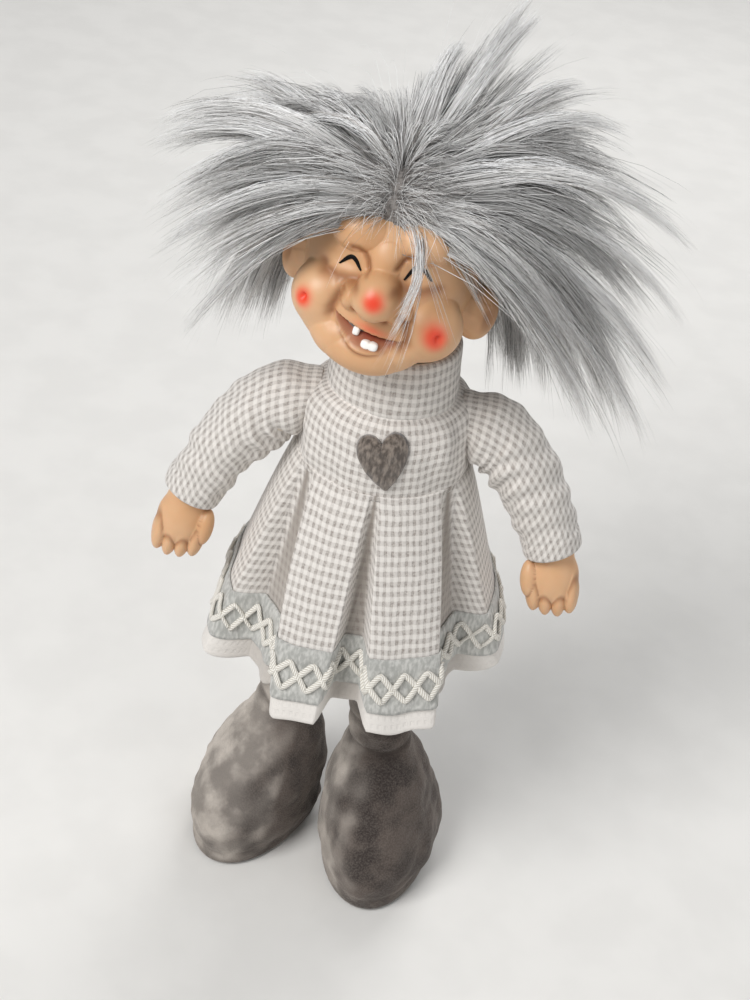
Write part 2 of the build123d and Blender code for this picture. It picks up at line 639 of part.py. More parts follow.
def lock_sections(around, up, reach, rise, lift):
    """Lens-shaped slices along a lock, which bows from the cranium to its tip in a plane through the crown."""
    angle, height = math.radians(around), math.radians(up)
    outwards = Vector(math.sin(angle), -math.cos(angle), 0)
    across = Vector(math.cos(angle), math.sin(angle), 0)
    root = Vector(HEAD_MIDDLE) + LOCK_ROOT * (math.cos(height) * outwards + math.sin(height) * Vector(0, 0, 1))
    tip = root + reach * outwards + Vector(0, 0, rise)
    bow = (root + tip) * 0.5 + Vector(0, 0, lift)
    sections = []
    for along, width in LOCK_STEPS:
        middle = root * (1 - along) ** 2 + bow * (2 * along * (1 - along)) + tip * along**2
        heading = (bow - root) * (1 - along) + (tip - bow) * along
        half, thick = LOCK_WIDTH * width, LOCK_THICKNESS * width
        with BuildSketch(Plane(middle, x_dir=across, z_dir=heading)) as section:
            with BuildLine() as lens:
                ThreePointArc((-half, 0), (0, thick), (half, 0))
                ThreePointArc((half, 0), (0, -thick), (-half, 0))
            make_face(lens.edges())
        sections.append(section.sketch)
    return sections


def gore_edge(around):
    """The upright plane where two gores meet, facing the way that the angle grows."""
    angle = math.radians(around)
    return Plane(HEAD_MIDDLE, z_dir=(math.cos(angle), math.sin(angle), 0))


HAIRLINE = HEAD.rotated((-HAIRLINE_SLOPE, 0, 0)).offset(HAIRLINE_RISE)

for gore, ((first, last), locks) in WIG_GORES.items():
    with BuildPart() as wig:
        head_loft(GAP + WIG_BASE)
        split(bisect_by=HAIRLINE, keep=Keep.TOP)
        for lock in locks:
            loft(lock_sections(*lock), ruled=True)
        head_loft(GAP, mode=Mode.SUBTRACT)
        brows(GAP, mode=Mode.SUBTRACT)
        split(bisect_by=gore_edge(first), keep=Keep.TOP)
        split(bisect_by=gore_edge(last), keep=Keep.BOTTOM)
    finish(wig, f"wig_{gore}")
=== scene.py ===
"""A standing troll girl: vinyl head and hands, grey fur wig, checked dress with a braided hem, plush boots.

Surfaces are grids worked out in millimetres in the part's own frame (+Z up, facing -Y, "left" at +X).
They go into their meshes in metres. Degrees "round" run from the front towards the figure's left.
"""

import bpy
import numpy as np
from mathutils import Matrix, Vector


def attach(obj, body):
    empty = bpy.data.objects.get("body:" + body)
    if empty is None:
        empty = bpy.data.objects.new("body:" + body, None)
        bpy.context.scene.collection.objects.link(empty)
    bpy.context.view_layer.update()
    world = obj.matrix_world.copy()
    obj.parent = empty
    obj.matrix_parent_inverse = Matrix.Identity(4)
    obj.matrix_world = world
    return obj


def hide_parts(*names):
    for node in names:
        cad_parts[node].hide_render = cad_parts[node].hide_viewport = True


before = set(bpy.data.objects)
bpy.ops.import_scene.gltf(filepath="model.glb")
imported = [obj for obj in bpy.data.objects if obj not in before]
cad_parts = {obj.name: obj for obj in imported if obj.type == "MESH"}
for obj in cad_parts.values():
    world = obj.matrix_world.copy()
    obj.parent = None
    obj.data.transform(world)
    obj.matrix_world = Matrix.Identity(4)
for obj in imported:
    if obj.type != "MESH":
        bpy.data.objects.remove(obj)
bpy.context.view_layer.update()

MM = 0.001
TAU = 2 * np.pi
UPWARDS = np.array([0, 0, 1.0])
SIDES = {"left": 1, "right": -1}
GAP, CLOTH = 0.3, 1.5  # room between the body and the dress, thickness of the dress

# The photograph's view, in millimetres, degrees and pixels
VIEW_TARGET, VIEW_DISTANCE, VIEW_ELEVATION, VIEW_LEAN = np.array([0, 0, 167.0]), 526.0, 38.0, 9.0
LENS, SENSOR = 54.0, 36.0
PICTURE_WIDTH, PICTURE_HEIGHT = 750, 1000

# Head, in its own frame
HEAD_MIDDLE = np.array([-6.0, -3.0, 266.0])
HEAD_YAW, HEAD_PITCH, HEAD_ROLL = -7.0, -11.0, 6.0
HEAD_HALF_WIDTH, HEAD_FRONT, HEAD_BACK, HEAD_UP, HEAD_DOWN = 26.5, 27.5, 27.0, 28.0, 29.0
# share of the height above or below the middle, then of the half width, front and back
HEAD_SECTIONS = np.array([
    (-1.0, 0.36, 0.80, 0.10),
    (-0.88, 0.60, 0.93, 0.42),
    (-0.60, 0.88, 1.00, 0.76),
    (-0.25, 1.00, 1.02, 0.95),
    (0.15, 1.00, 0.97, 1.00),
    (0.50, 0.90, 0.89, 0.90),
    (0.80, 0.63, 0.65, 0.63),
    (0.95, 0.33, 0.34, 0.33),
    (1.0, 0.02, 0.02, 0.02),
])
UNDERSIDE_Z, UNDERSIDE_RADIUS = 242.5, 24.5  # room for the collar
PLUG_RADIUS = 9.0

# Body
HIP_Z, WAIST_Z, PIVOT_Z, TRUNK_TOP = 150.0, 190.0, 217.5, 216.0
NECK_BALL, NECK_RADIUS, NECK_TIE_Z = 12.5, 11.3, 233.5
# height above the hip, half width, half depth
TORSO_SECTIONS = np.array([
    (4.0, 28.5, 20.5),
    (14.0, 30.5, 23.5),
    (28.0, 29.0, 25.0),
    (40.0, 27.6, 26.0),
    (52.0, 27.2, 25.2),
    (60.0, 25.4, 23.4),
    (66.5, 21.8, 20.8),
])

# Skirt
SKIRT_LENGTH, SKIRT_HALF_WIDTH, SKIRT_FRONT, SKIRT_BACK = 79.0, 54.0, 57.0, 50.0
HEM_SQUARENESS, FLARE_POWER, PLEAT_START, PLEAT_DEPTH = 3.0, 0.9, 0.5, 14.0
WAIST_FOLDS = [(4, 44), (62, 118), (136, 176), (184, 224), (242, 298), (316, 356)]
HEM_FOLDS = [(4, 27), (81, 115), (159, 176), (184, 201), (250, 287), (344, 356)]
HEM_BORDER, RIBBON_HEIGHT, RIBBON_THICKNESS, BRAID_HEIGHT = 7.5, 19.0, 0.6, 12.0
SKIRT_THICKNESS, BORDER_EDGE = 1.4, (0.893, 0.899)  # share of the length where the plain border starts
HEM_TILT = 0.07  # the hem hangs lower on the figure's right
# waves round the hem, outwards and downwards: height, number, phase in degrees
HEM_SWELLS = [(0.9, 9, 40), (0.6, 17, 0)]
HEM_RIPPLES = [(0.7, 13, 70), (0.5, 23, 0)]
DIAMOND_WIDTH = 8.2
CHECK_WIDTH, CHECK_HEIGHT, THREAD_PITCH = 2.4, 3.3, 0.6
HEART_WIDTH, HEART_HEIGHT, HEART_THICKNESS = 17.0, 20.0, 1.9
HEART_X, HEART_Z, HEART_TURN, HEART_DROP = 0.9, 203.2, 13.0, 1.5

# Arms and hands
SHOULDER = np.array([39.0, 0.0, 208.0])
CUFF = np.array([63.5, -8.0, 165.0])
ARM_ROOT, ELBOW = np.array([23.5, 0, 207.5]), np.array([45.0, -0.5, 207.5])
SLEEVE_RADIUS, CUFF_RADIUS, ARM_SHRINK = 13.0, 10.2, 2.0
SLEEVE_SEEDS = {"left": 1.3, "right": 3.9}
HAND_WAY, HAND_DROP, WRIST_DROP = np.array([0.14, -0.25, -0.96]), 11.0, 1.5
# Balls of the fist in the hand's frame: middle, half sizes; fingers: place out, and how much shorter
PALM_BALLS = [((0, 0, 2.0), (8.8, 7.3, 11.0)), ((0, 0, 13.0), (6.9, 6.7, 13.0))]
THUMB_BALL = (-8.4, -3.0, 1.6), (3.1, 3.8, 7.0)
FINGERS, FINGER_HALF = [(-6.4, 2.2), (-2.2, 0.5), (2.2, 0.0), (6.3, 1.4)], (3.2, 5.6, 9.6)

# Boots and legs
BOOT_TOE, BOOT_HEEL, BOOT_WIDTH, BOOT_HEIGHT, BALL_HEIGHT = 44.0, 21.0, 49.0, 56.0, 18.0
SHAFT_RADIUS, SHAFT_TOP, SOLE_THICKNESS = 12.8, 98.0, 2.5
BOOT_SPREAD, SHAFT_SPREAD, STANCE_SHIFT, STEP = 24.9, 13.3, -2.5, 4.8
TOE_TURN = {"left": -4.0, "right": -20.0}
LEG_RADIUS, LEG_START_Z, HIP_RADIUS, HIP_SPREAD = 10.5, 88.0, 11.6, 13.5
BOOT_SEEDS = {"left": 0.6, "right": 4.2}
# rings under the sole: height, share of the sole's outline
BOOT_UNDERSIDE, SOLE_SHARE = [(0.5, 0.80), (0.35, 0.86), (0.9, 0.915), (2.0, 0.955)], 0.86
# folds of the shaft: height, width
ANKLE_FOLD, SHIN_FOLD, SHAFT_FOLD = (60, 2.2), (72, 1.8), (86, 2.0)
SHAFT_RIM = [(0.4, 12.2), (0.0, 11.2), (-4.0, 10.4)]  # height over the shaft's top, radius
# share of the way from the sole to the shaft, then of the half width, toe and heel
BOOT_SECTIONS = [
    (0.0, 0.84, 0.88, 0.86),
    (0.1, 0.95, 0.97, 0.96),
    (0.28, 1.0, 1.0, 1.0),
    (0.46, 0.95, 0.92, 0.97),
    (0.64, 0.83, 0.74, 0.90),
    (0.82, 0.68, 0.52, 0.78),
    (1.0, SHAFT_RADIUS / BOOT_WIDTH * 2, SHAFT_RADIUS / BOOT_TOE, SHAFT_RADIUS / BOOT_HEEL),
]

# Wig
LOCK_ROOT = 27.5  # distance of the roots from the head's middle
HAIRLINE_SLOPE, HAIRLINE_RISE = -24.0, 5.0
PARTING_ROUND, GUIDE_SPREAD = -8.0, 11.0
# degrees round that each gore takes up
GORES = {"front": (-50, 52), "left": (52, 130), "back": (130, 232), "right": (232, 310)}
HAIR_LOW, HAIR_HIGH = np.array([-88.0, -61.5, 196.0]), np.array([91.5, 71.0, 341.0])
SHOULDER_ROOM = (50, 74), (217, 197)  # distance from the neck's axis, lowest height of a tip there
LOW_TUFT_ROUND, LOW_TUFT_SPAN = 121.0, (10, 16)  # where hair may hang lower: degrees round, and to each side
TUFT_HAIRS, TUFT_LOOSENESS = 55, 0.3
# hairs in each gore or piece, and odds of the four tones
HAIR_COUNTS = {"gore": 5800, "wisps": 2700, "undercoat": 5200, "stray": 420, "fringe": 75}
TONE_ODDS = {
    "gore": (0.57, 0.2, 0.15, 0.08),
    "wisps": (0.7, 0.22, 0.06, 0.02),
    # the underfur is darker, and darker still as painted shade in the gaps of the hair
    "undercoat": (0.25, 0.3, 0.33, 0.12),
    "stray": (0.55, 0.2, 0.1, 0.15),
    "fringe": (0.62, 0.25, 0.11, 0.02),
}


# Arithmetic of the surfaces


def rotation(axis, degrees):
    """Turn about a coordinate axis as a 3 x 3 array."""
    return np.array(Matrix.Rotation(np.radians(degrees), 3, axis))


HEAD_AXES = rotation("Z", HEAD_YAW) @ rotation("X", HEAD_PITCH) @ rotation("Y", HEAD_ROLL)


def unit(vectors):
    """Each vector divided by its length."""
    return vectors / np.maximum(np.linalg.norm(vectors, axis=-1, keepdims=True), 1e-9)


def ease(low, high, value):
    """Smooth step: 0 below low, 1 above high, and the cubic 3t2 - 2t3 between."""
    share = np.clip((value - low) / (high - low), 0, 1)
    return share * share * (3 - 2 * share)


def bell(value, width, power=2):
    """A smooth bump: exp(-(value / width)power), which is 1 at 0."""
    return np.exp(-((value / width) ** power))


def angles(count):
    """Evenly spaced angles round, as one row."""
    return np.linspace(0, TAU, count, endpoint=False)[None, :]


def through(value, knots, heights):
    """Smooth curve through knots: cubic pieces whose slope at each knot is that between its neighbours."""
    knots, heights = np.asarray(knots, float), np.asarray(heights, float)
    slopes = np.gradient(heights, knots)
    piece = np.clip(np.searchsorted(knots, value) - 1, 0, len(knots) - 2)
    step = knots[piece + 1] - knots[piece]
    t = np.clip((value - knots[piece]) / step, 0, 1)
    return (
        (2 * t**3 - 3 * t**2 + 1) * heights[piece]
        + (t**3 - 2 * t**2 + t) * step * slopes[piece]
        + (3 * t**2 - 2 * t**3) * heights[piece + 1]
        + (t**3 - t**2) * step * slopes[piece + 1]
    )


def lumps(points, size, seed):
    """Soft unevenness from about -1 to 1: twice the mean of eight sine waves, size long, in seeded ways."""
    draw = np.random.default_rng(seed)
    ways = unit(draw.normal(size=(8, 3))) * draw.uniform(0.7, 1.5, (8, 1)) * TAU / size
    return np.sin(points @ ways.T + draw.uniform(0, TAU, 8)).mean(-1) * 2


def directions(around, up):
    """Unit vectors for degrees round from the front and degrees up."""
    around, up = np.radians(around), np.radians(up)
    return np.stack([np.cos(up) * np.sin(around), -np.cos(up) * np.cos(around), np.sin(up) + 0 * around], -1)


def reach(ways, middle, half):
    """How far an ellipsoid reaches along rays: the larger root r of |(r way - middle) / half| = 1.

    Where a ray misses it, the root's middle less the miss, so that neighbouring forms melt evenly.
    """
    ways, middle = ways / np.asarray(half, float), np.asarray(middle, float) / np.asarray(half, float)
    square = (ways * ways).sum(-1)
    slope = ways @ middle
    inside = slope**2 - square * (middle @ middle - 1)
    return (slope + np.sign(inside) * np.sqrt(np.abs(inside))) / square


def melt(reaches, softness):
    """Smooth largest value: softness times the logarithm of the summed exponentials of reach / softness."""
    stack = np.stack(reaches)
    top = stack.max(0)
    return top + softness * np.log(np.exp((stack - top) / softness).sum(0))


def near_line(points, line):
    """Distance of points in a plane to a broken line, the least over its pieces."""
    line = np.asarray(line, float)
    away = np.full(points.shape[:-1], np.inf)
    for start, end in zip(line[:-1], line[1:]):
        along = np.clip(((points - start) @ (end - start)) / ((end - start) @ (end - start)), 0, 1)
        away = np.minimum(away, np.linalg.norm(points - start - along[..., None] * (end - start), axis=-1))
    return away


def normals(grid):
    """Outward unit normals of a grid with rows down and columns round: slope down x slope round."""
    sideways = np.roll(grid, -1, 1) - np.roll(grid, 1, 1)
    return unit(np.cross(np.gradient(grid, axis=0), sideways))


def pipe(path, across, out, half_width, half_height, sides=8):
    """An ellipse carried along a path: path + half width cos(a) across + half height sin(a) out."""
    angle = angles(sides).T
    sizes = (half_width, half_height)
    half_width, half_height = (np.broadcast_to(size, len(path))[:, None, None] for size in sizes)
    return (
        path[:, None]
        + half_width * np.cos(angle) * across[:, None]
        + half_height * np.sin(angle) * out[:, None]
    )


def level_pipe(path, radius, sides):
    """Level circles along a path."""
    across, back = (np.tile(way, (len(path), 1)) for way in ([1.0, 0, 0], [0, 1.0, 0]))
    return pipe(path, across, back, radius, radius, sides)


# Meshes


def make_piece(name, points, faces, uv=None, uv_faces=None, values=None, uv_name="cloth"):
    """A mesh from points in millimetres, arrays of faces, and if given a UV map and values at the points.

    The faces are turned over if the summed volumes of their cones from the origin are negative.
    """
    volume = sum(
        np.einsum("ij,ij->", points[f[:, 0]], np.cross(points[f[:, k]], points[f[:, k + 1]]))
        for f in faces
        for k in range(1, f.shape[1] - 1)
    )
    step = -1 if volume < 0 else 1
    corners = np.concatenate([f[:, ::step].ravel() for f in faces]).astype(np.int32)
    sizes = np.concatenate([np.full(len(f), f.shape[1]) for f in faces])
    mesh = bpy.data.meshes.new(name)
    mesh.vertices.add(len(points))
    mesh.vertices.foreach_set("co", (points * MM).astype(np.float32).ravel())
    mesh.loops.add(len(corners))
    mesh.loops.foreach_set("vertex_index", corners)
    mesh.polygons.add(len(sizes))
    mesh.polygons.foreach_set("loop_start", (np.cumsum(sizes) - sizes).astype(np.int32))
    mesh.update(calc_edges=True)
    mesh.shade_smooth()
    if uv is not None:
        uv_corners = np.concatenate([f[:, ::step].ravel() for f in uv_faces])
        mesh.uv_layers.new(name=uv_name).data.foreach_set("uv", uv[uv_corners].astype(np.float32).ravel())
    for key, value in (values or {}).items():
        colour = value.ndim == 2
        layer = mesh.attributes.new(key, "FLOAT_COLOR" if colour else "FLOAT", "POINT")
        layer.data.foreach_set("color" if colour else "value", value.astype(np.float32).ravel())
    mesh.validate()
    piece = bpy.data.objects.new(name, mesh)
    bpy.context.collection.objects.link(piece)
    return piece


def grid_faces(rows, columns, loop, around):
    """Corner numbers of the quads between neighbours of a grid, wrapped where loop or around is true."""
    r, c = np.meshgrid(np.arange(rows - (not loop)), np.arange(columns - (not around)), indexing="ij")
    below, beside = (r + 1) % rows, (c + 1) % columns
    quads = [r * columns + c, below * columns + c, below * columns + beside, r * columns + beside]
    return np.stack(quads, -1).reshape(-1, 4)


def cloth_uv(grid, loop):
    """Millimetres along the cloth: the mean row's length round, and each column's own length down."""
    closed = np.concatenate([grid, grid[:, :1]], 1)
    if loop:
        closed = np.concatenate([closed, closed[:1]], 0)
    steps_round = np.linalg.norm(np.diff(closed, axis=1), axis=-1).mean(0)
    steps_down = np.linalg.norm(np.diff(closed, axis=0), axis=-1)
    u = np.broadcast_to(np.concatenate([[0], np.cumsum(steps_round)]), closed.shape[:2])
    v = np.concatenate([np.zeros((1, closed.shape[1])), np.cumsum(steps_down, 0)], 0)
    return np.stack([u, v], -1)


def cord_uv(grid):
    """Millimetres along a looped cord: its girth round, and the mean length of its columns down."""
    closed = np.concatenate([grid, grid[:1]], 0)
    girth = np.linalg.norm(grid[0] - np.roll(grid[0], 1, 0), axis=-1).sum()
    down = np.linalg.norm(np.diff(closed, axis=0), axis=-1).mean(1)
    u, v = np.meshgrid(np.linspace(0, girth, grid.shape[1] + 1), np.append(0, np.cumsum(down)))
    return np.stack([u, v], -1)


def surface(name, grid, ends="cap", uv=None, values=None):
    """A closed surface from a grid whose columns run round.

    Its ends are joined ("loop") or closed by fans of triangles ("cap").
    """
    rows, columns = grid.shape[:2]
    loop = ends == "loop"
    uv = cloth_uv(grid, loop) if uv is None else uv
    points, coordinates = grid.reshape(-1, 3), uv.reshape(-1, 2)
    values = {key: value.reshape(-1) for key, value in (values or {}).items()}
    faces = [grid_faces(rows, columns, loop, True)]
    uv_faces = [grid_faces(rows + loop, columns + 1, False, False)]
    if not loop:
        column = np.arange(columns)
        beside = (column + 1) % columns
        for row, first in ((0, True), (rows - 1, False)):
            tip, uv_tip = len(points), len(coordinates)
            points = np.concatenate([points, grid[row].mean(0)[None]])
            coordinates = np.concatenate([coordinates, uv[row].mean(0)[None]])
            values = {key: np.append(value, value[row * columns]) for key, value in values.items()}
            pair, uv_pair = (column, beside) if first else (beside, column), (column, column + 1)
            uv_pair = uv_pair if first else uv_pair[::-1]
            faces.append(np.stack([np.full(columns, tip), *(row * columns + c for c in pair)], -1))
            uv_corners = (row * (columns + 1) + c for c in uv_pair)
            uv_faces.append(np.stack([np.full(columns, uv_tip), *uv_corners], -1))
    return make_piece(name, points, faces, coordinates, uv_faces, values)


def place(piece, finish, body, slot, *nodes):
    """Gives a piece its finish and body, and hides the CAD nodes that it stands for. The slot is not used."""
    piece.data.materials.append(finish)
    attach(piece, body)
    if nodes:
        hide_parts(*nodes)
    return piece


# Finishes


def shade(red, green, blue):
    """A display colour, 0 to 255, as the linear colour that a socket takes."""
    value = np.array([red, green, blue]) / 255
    linear = np.where(value <= 0.04045, value / 12.92, ((value + 0.055) / 1.055) ** 2.4)
    return (*linear.tolist(), 1.0)


class Finish:
    """A node material that is built up step by step around one shader."""

    def __init__(self, name, **sockets):
        self.material = bpy.data.materials.new(name)
        self.material.use_nodes = True
        self.tree = self.material.node_tree
        self.shader = self.tree.nodes["Principled BSDF"]
        for socket, value in sockets.items():
            self.shader.inputs[socket.replace("_", " ")].default_value = value

    def add(self, kind, inputs=None, output=0, **settings):
        """Adds a node, sets or links its inputs, and returns one of its outputs."""
        node = self.tree.nodes.new("ShaderNode" + kind)
        for key, value in settings.items():
            setattr(node, key, value)
        for key, value in (inputs or {}).items():
            if isinstance(value, bpy.types.NodeSocket):
                self.tree.links.new(value, node.inputs[key])
            else:
                node.inputs[key].default_value = value
        return node.outputs[output]

    def maths(self, operation, *values):
        """A Math node on sockets or numbers."""
        return self.add("Math", dict(enumerate(values)), operation=operation)

    def attribute(self, name, output="Fac"):
        """A value stored at the piece's points."""
        return self.add("Attribute", output=output, attribute_name=name)

    def place(self):
        """The piece's own coordinates, in metres."""
        return self.add("TexCoord", output="Object")

    def noise(self, vector, scale, detail=3.0, output="Fac"):
        """A cloudy pattern, with about scale clouds to the metre."""
        return self.add("TexNoise", {"Vector": vector, "Scale": scale, "Detail": detail}, output)

    def ramp(self, value, low, high):
        """A value stretched so that low becomes 0 and high 1, with smooth ends."""
        return self.add("MapRange", {0: value, 1: low, 2: high}, interpolation_type="SMOOTHSTEP")

    def mix(self, share, first, second):
        """A colour between two."""
        return self.add("Mix", {0: share, 6: first, 7: second}, 2, data_type="RGBA")

    def colour(self, socket):
        """Links the base colour."""
        self.tree.links.new(socket, self.shader.inputs["Base Color"])

    def bump(self, height, depth, strength=1.0):
        """Links a relief of that depth in millimetres."""
        inputs = {"Height": height, "Distance": depth * MM, "Strength": strength}
        self.tree.links.new(self.add("Bump", inputs), self.shader.inputs["Normal"])


def vinyl_finish():
    """Peach vinyl: brown painted shade in the creases, sprayed red spots, a dark red mouth, and a fine grain.
    """
    skin = Finish("peach_vinyl", Roughness=0.42, Subsurface_Weight=0.12, Subsurface_Scale=0.002)
    where = skin.place()
    cloud = skin.ramp(skin.noise(where, 45), 0.3, 0.7)
    base = skin.mix(cloud, shade(208, 160, 116), shade(220, 176, 135))
    # painted shade: brown in the folds, dimples, ear cups and between the fingers
    base = skin.mix(skin.attribute("crease"), base, shade(142, 86, 48))
    base = skin.mix(skin.attribute("blush"), base, shade(232, 72, 44))
    # the mouth's dark red paint, also used as painted shade in the nostrils
    skin.colour(skin.mix(skin.attribute("mouth"), base, shade(128, 38, 26)))
    skin.bump(skin.noise(where, 1400), 0.05, 0.25)
    return skin.material


def plain_finish(name, colour, other, roughness, scale, depth, **sockets):
    """A finish of two close tones in clouds, with a relief from the same pattern."""
    plain = Finish(name, Roughness=roughness, **sockets)
    pattern = plain.noise(plain.place(), scale)
    plain.colour(plain.mix(plain.ramp(pattern, 0.35, 0.65), colour, other))
    plain.bump(pattern, depth, 0.6)
    return plain.material


def hair_finish():
    """Silky fibre that takes its tone from each hair."""
    hair = Finish("silver_hair", Roughness=0.36, Specular_IOR_Level=0.5, Sheen_Weight=0.25)
    hair.colour(hair.attribute("tone", "Color"))
    return hair.material


def check_finish():
    """Small woven check: greige stripes both ways on cream, darkest where they cross, over a thread relief.

    The plain hem edge of the skirt, where the border value is 1, is left cream.
    The pleats' depths take painted shade, strongest towards the waist.
    """
    cloth = Finish("mini_check_cloth", Roughness=0.88, Sheen_Weight=0.25, Sheen_Roughness=0.5)
    uv = cloth.add("UVMap", uv_map="cloth")
    warp_noise = cloth.noise(cloth.place(), 160, 2.0, "Color")
    drift = cloth.add("VectorMath", {0: warp_noise, 1: (0.5, 0.5, 0.5)}, operation="SUBTRACT")
    drift = cloth.add("VectorMath", {0: drift, "Scale": 1.1}, operation="SCALE")
    uv = cloth.add("VectorMath", {0: uv, 1: drift}, operation="ADD")
    parts = cloth.add("SeparateXYZ", {0: uv})
    across, down = parts, parts.node.outputs[1]

    def stripes(value, pitch, low, high):
        wave = cloth.maths("SINE", cloth.maths("MULTIPLY", value, TAU / pitch))
        return cloth.ramp(wave, low, high)

    upright = stripes(across, CHECK_WIDTH, -0.25, 0.55)
    level = stripes(down, CHECK_HEIGHT, -0.55, 0.35)
    crossing = cloth.maths("MULTIPLY", upright, level)
    either = cloth.maths("MAXIMUM", upright, level)
    dark = cloth.maths("ADD", cloth.maths("MULTIPLY", crossing, 0.46), cloth.maths("MULTIPLY", either, 0.3))
    fleck = cloth.ramp(cloth.noise(cloth.place(), 1500, 2.0), 0.35, 0.7)
    dark = cloth.maths("MULTIPLY", dark, cloth.maths("ADD", cloth.maths("MULTIPLY", fleck, 0.5), 0.7))
    border = cloth.attribute("border")
    dark = cloth.maths("MULTIPLY", dark, cloth.maths("SUBTRACT", 1.0, border))
    # painted shade: the check darkens to this tone in the pleats' depths
    cream_tone, pleat_shade = shade(228, 223, 217), shade(142, 132, 122)
    cloth.colour(cloth.mix(dark, cloth.mix(cloth.attribute("valley"), cream_tone, pleat_shade), shade(146, 137, 130)))
    thread = cloth.maths("MULTIPLY", *(stripes(way, THREAD_PITCH, -1, 1) for way in (across, down)))
    relief = cloth.maths("ADD", cloth.maths("MULTIPLY", thread, 0.4), cloth.maths("SUBTRACT", 1.0, crossing))
    cloth.bump(relief, 0.22, 0.55)
    return cloth.material


def felt_finish(name, dark, light):
    """Matted fibres: long streaks of two tones with a fuzzy relief."""
    felt = Finish(name, Roughness=0.95, Sheen_Weight=0.35, Sheen_Roughness=0.6)
    where = felt.add("Mapping", {"Vector": felt.place(), "Scale": (1.0, 1.0, 0.35), "Rotation": (0, 0.5, 0)})
    streak = felt.noise(where, 900, 4.0)
    felt.colour(felt.mix(felt.ramp(streak, 0.35, 0.7), dark, light))
    felt.bump(streak, 0.3, 0.9)
    return felt.material


def velour_finish():
    """Velour: brushed dark and light patches, pale painted sheen facing the light, and a nap with a sheen."""
    plush = Finish("taupe_velour", Roughness=0.95, Sheen_Weight=0.4, Sheen_Roughness=0.4)
    plush.shader.inputs["Sheen Tint"].default_value = shade(222, 213, 204)
    where = plush.place()
    patch = plush.ramp(plush.noise(where, 75, 4.0), 0.38, 0.64)
    nap = plush.noise(where, 1700, 3.0)
    pile = plush.mix(patch, shade(48, 40, 37), shade(84, 74, 68))
    # painted sheen: the pile turns pale where the boots face the key light
    stroked = plush.maths("ADD", plush.maths("MULTIPLY", patch, 0.55), 0.4)
    pile = plush.mix(plush.maths("MULTIPLY", plush.attribute("stroked"), stroked), pile, shade(200, 191, 181))
    pile = plush.mix(plush.maths("MULTIPLY", plush.ramp(nap, 0.35, 0.7), 0.22), pile, shade(150, 140, 131))
    # painted shade in the boots' folds
    plush.colour(plush.mix(plush.maths("MULTIPLY", plush.attribute("crease"), 0.75), pile, shade(52, 43, 38)))
    plush.bump(plush.maths("ADD", nap, plush.maths("MULTIPLY", patch, 1.5)), 0.45, 0.8)
    return plush.material


def twist_finish(name, light, dark, pitch):
    """Twisted yarn: slanted strands round the cord from its own map, with a relief and painted shade between
    them.
    """
    yarn = Finish(name, Roughness=0.85, Sheen_Weight=0.3)
    parts = yarn.add("SeparateXYZ", {0: yarn.add("UVMap", uv_map="cloth")})
    slant = yarn.maths("ADD", parts, parts.node.outputs[1])
    strand = yarn.ramp(yarn.maths("SINE", yarn.maths("MULTIPLY", slant, TAU / pitch)), -0.9, 0.6)
    # painted shade: the darker tone falls in the grooves between the strands
    yarn.colour(yarn.mix(strand, dark, light))
    yarn.bump(strand, 0.25, 0.8)
    return yarn.material


VINYL = vinyl_finish()
HAIR = hair_finish()
CHECK = check_finish()
RIBBON = felt_finish("grey_ribbon", shade(164, 164, 159), shade(200, 199, 194))
FELT = felt_finish("heart_felt", shade(74, 65, 58), shade(132, 121, 111))
PLUSH = velour_finish()
BRAID = twist_finish("white_braid", shade(246, 243, 235), shade(212, 206, 194), 1.1)
STRING = twist_finish("tie_string", shade(220, 218, 208), shade(160, 154, 140), 0.9)
BACKING = plain_finish("wig_backing", shade(112, 107, 103), shade(146, 141, 137), 0.9, 700, 0.4)
CALICO = plain_finish("calico", shade(214, 203, 186), shade(228, 219, 204), 0.9, 2200, 0.15)
SOLE = plain_finish("sole_board", shade(56, 48, 44), shade(74, 65, 60), 0.9, 1200, 0.2)
PELLETS = plain_finish("pellet_bag", shade(208, 206, 198), shade(228, 226, 220), 0.6, 420, 0.8)
ENAMEL = plain_finish("tooth_white", shade(246, 244, 238), shade(252, 251, 248), 0.25, 300, 0.02)
INK = plain_finish("eye_black", shade(8, 6, 6), shade(15, 13, 12), 0.6, 500, 0.02, Specular_IOR_Level=0.12)


# Head


def spaced(*stretches):
    """Values from several stretches (from, to, count), each with its own spacing."""
    return np.concatenate([np.linspace(start, end, count, endpoint=False) for start, end, count in stretches])


MOUTH_CORNERS = np.array([(-10.6, -14.0), (12.5, -18.0)])
UPPER_SAG, OPENING_SAG, LIP_SAG = 1.0, 5.6, 7.1
MOUTH_DEPTH, GUM_RISE, LIP_EDGE = 3.6, 2.4, 0.35
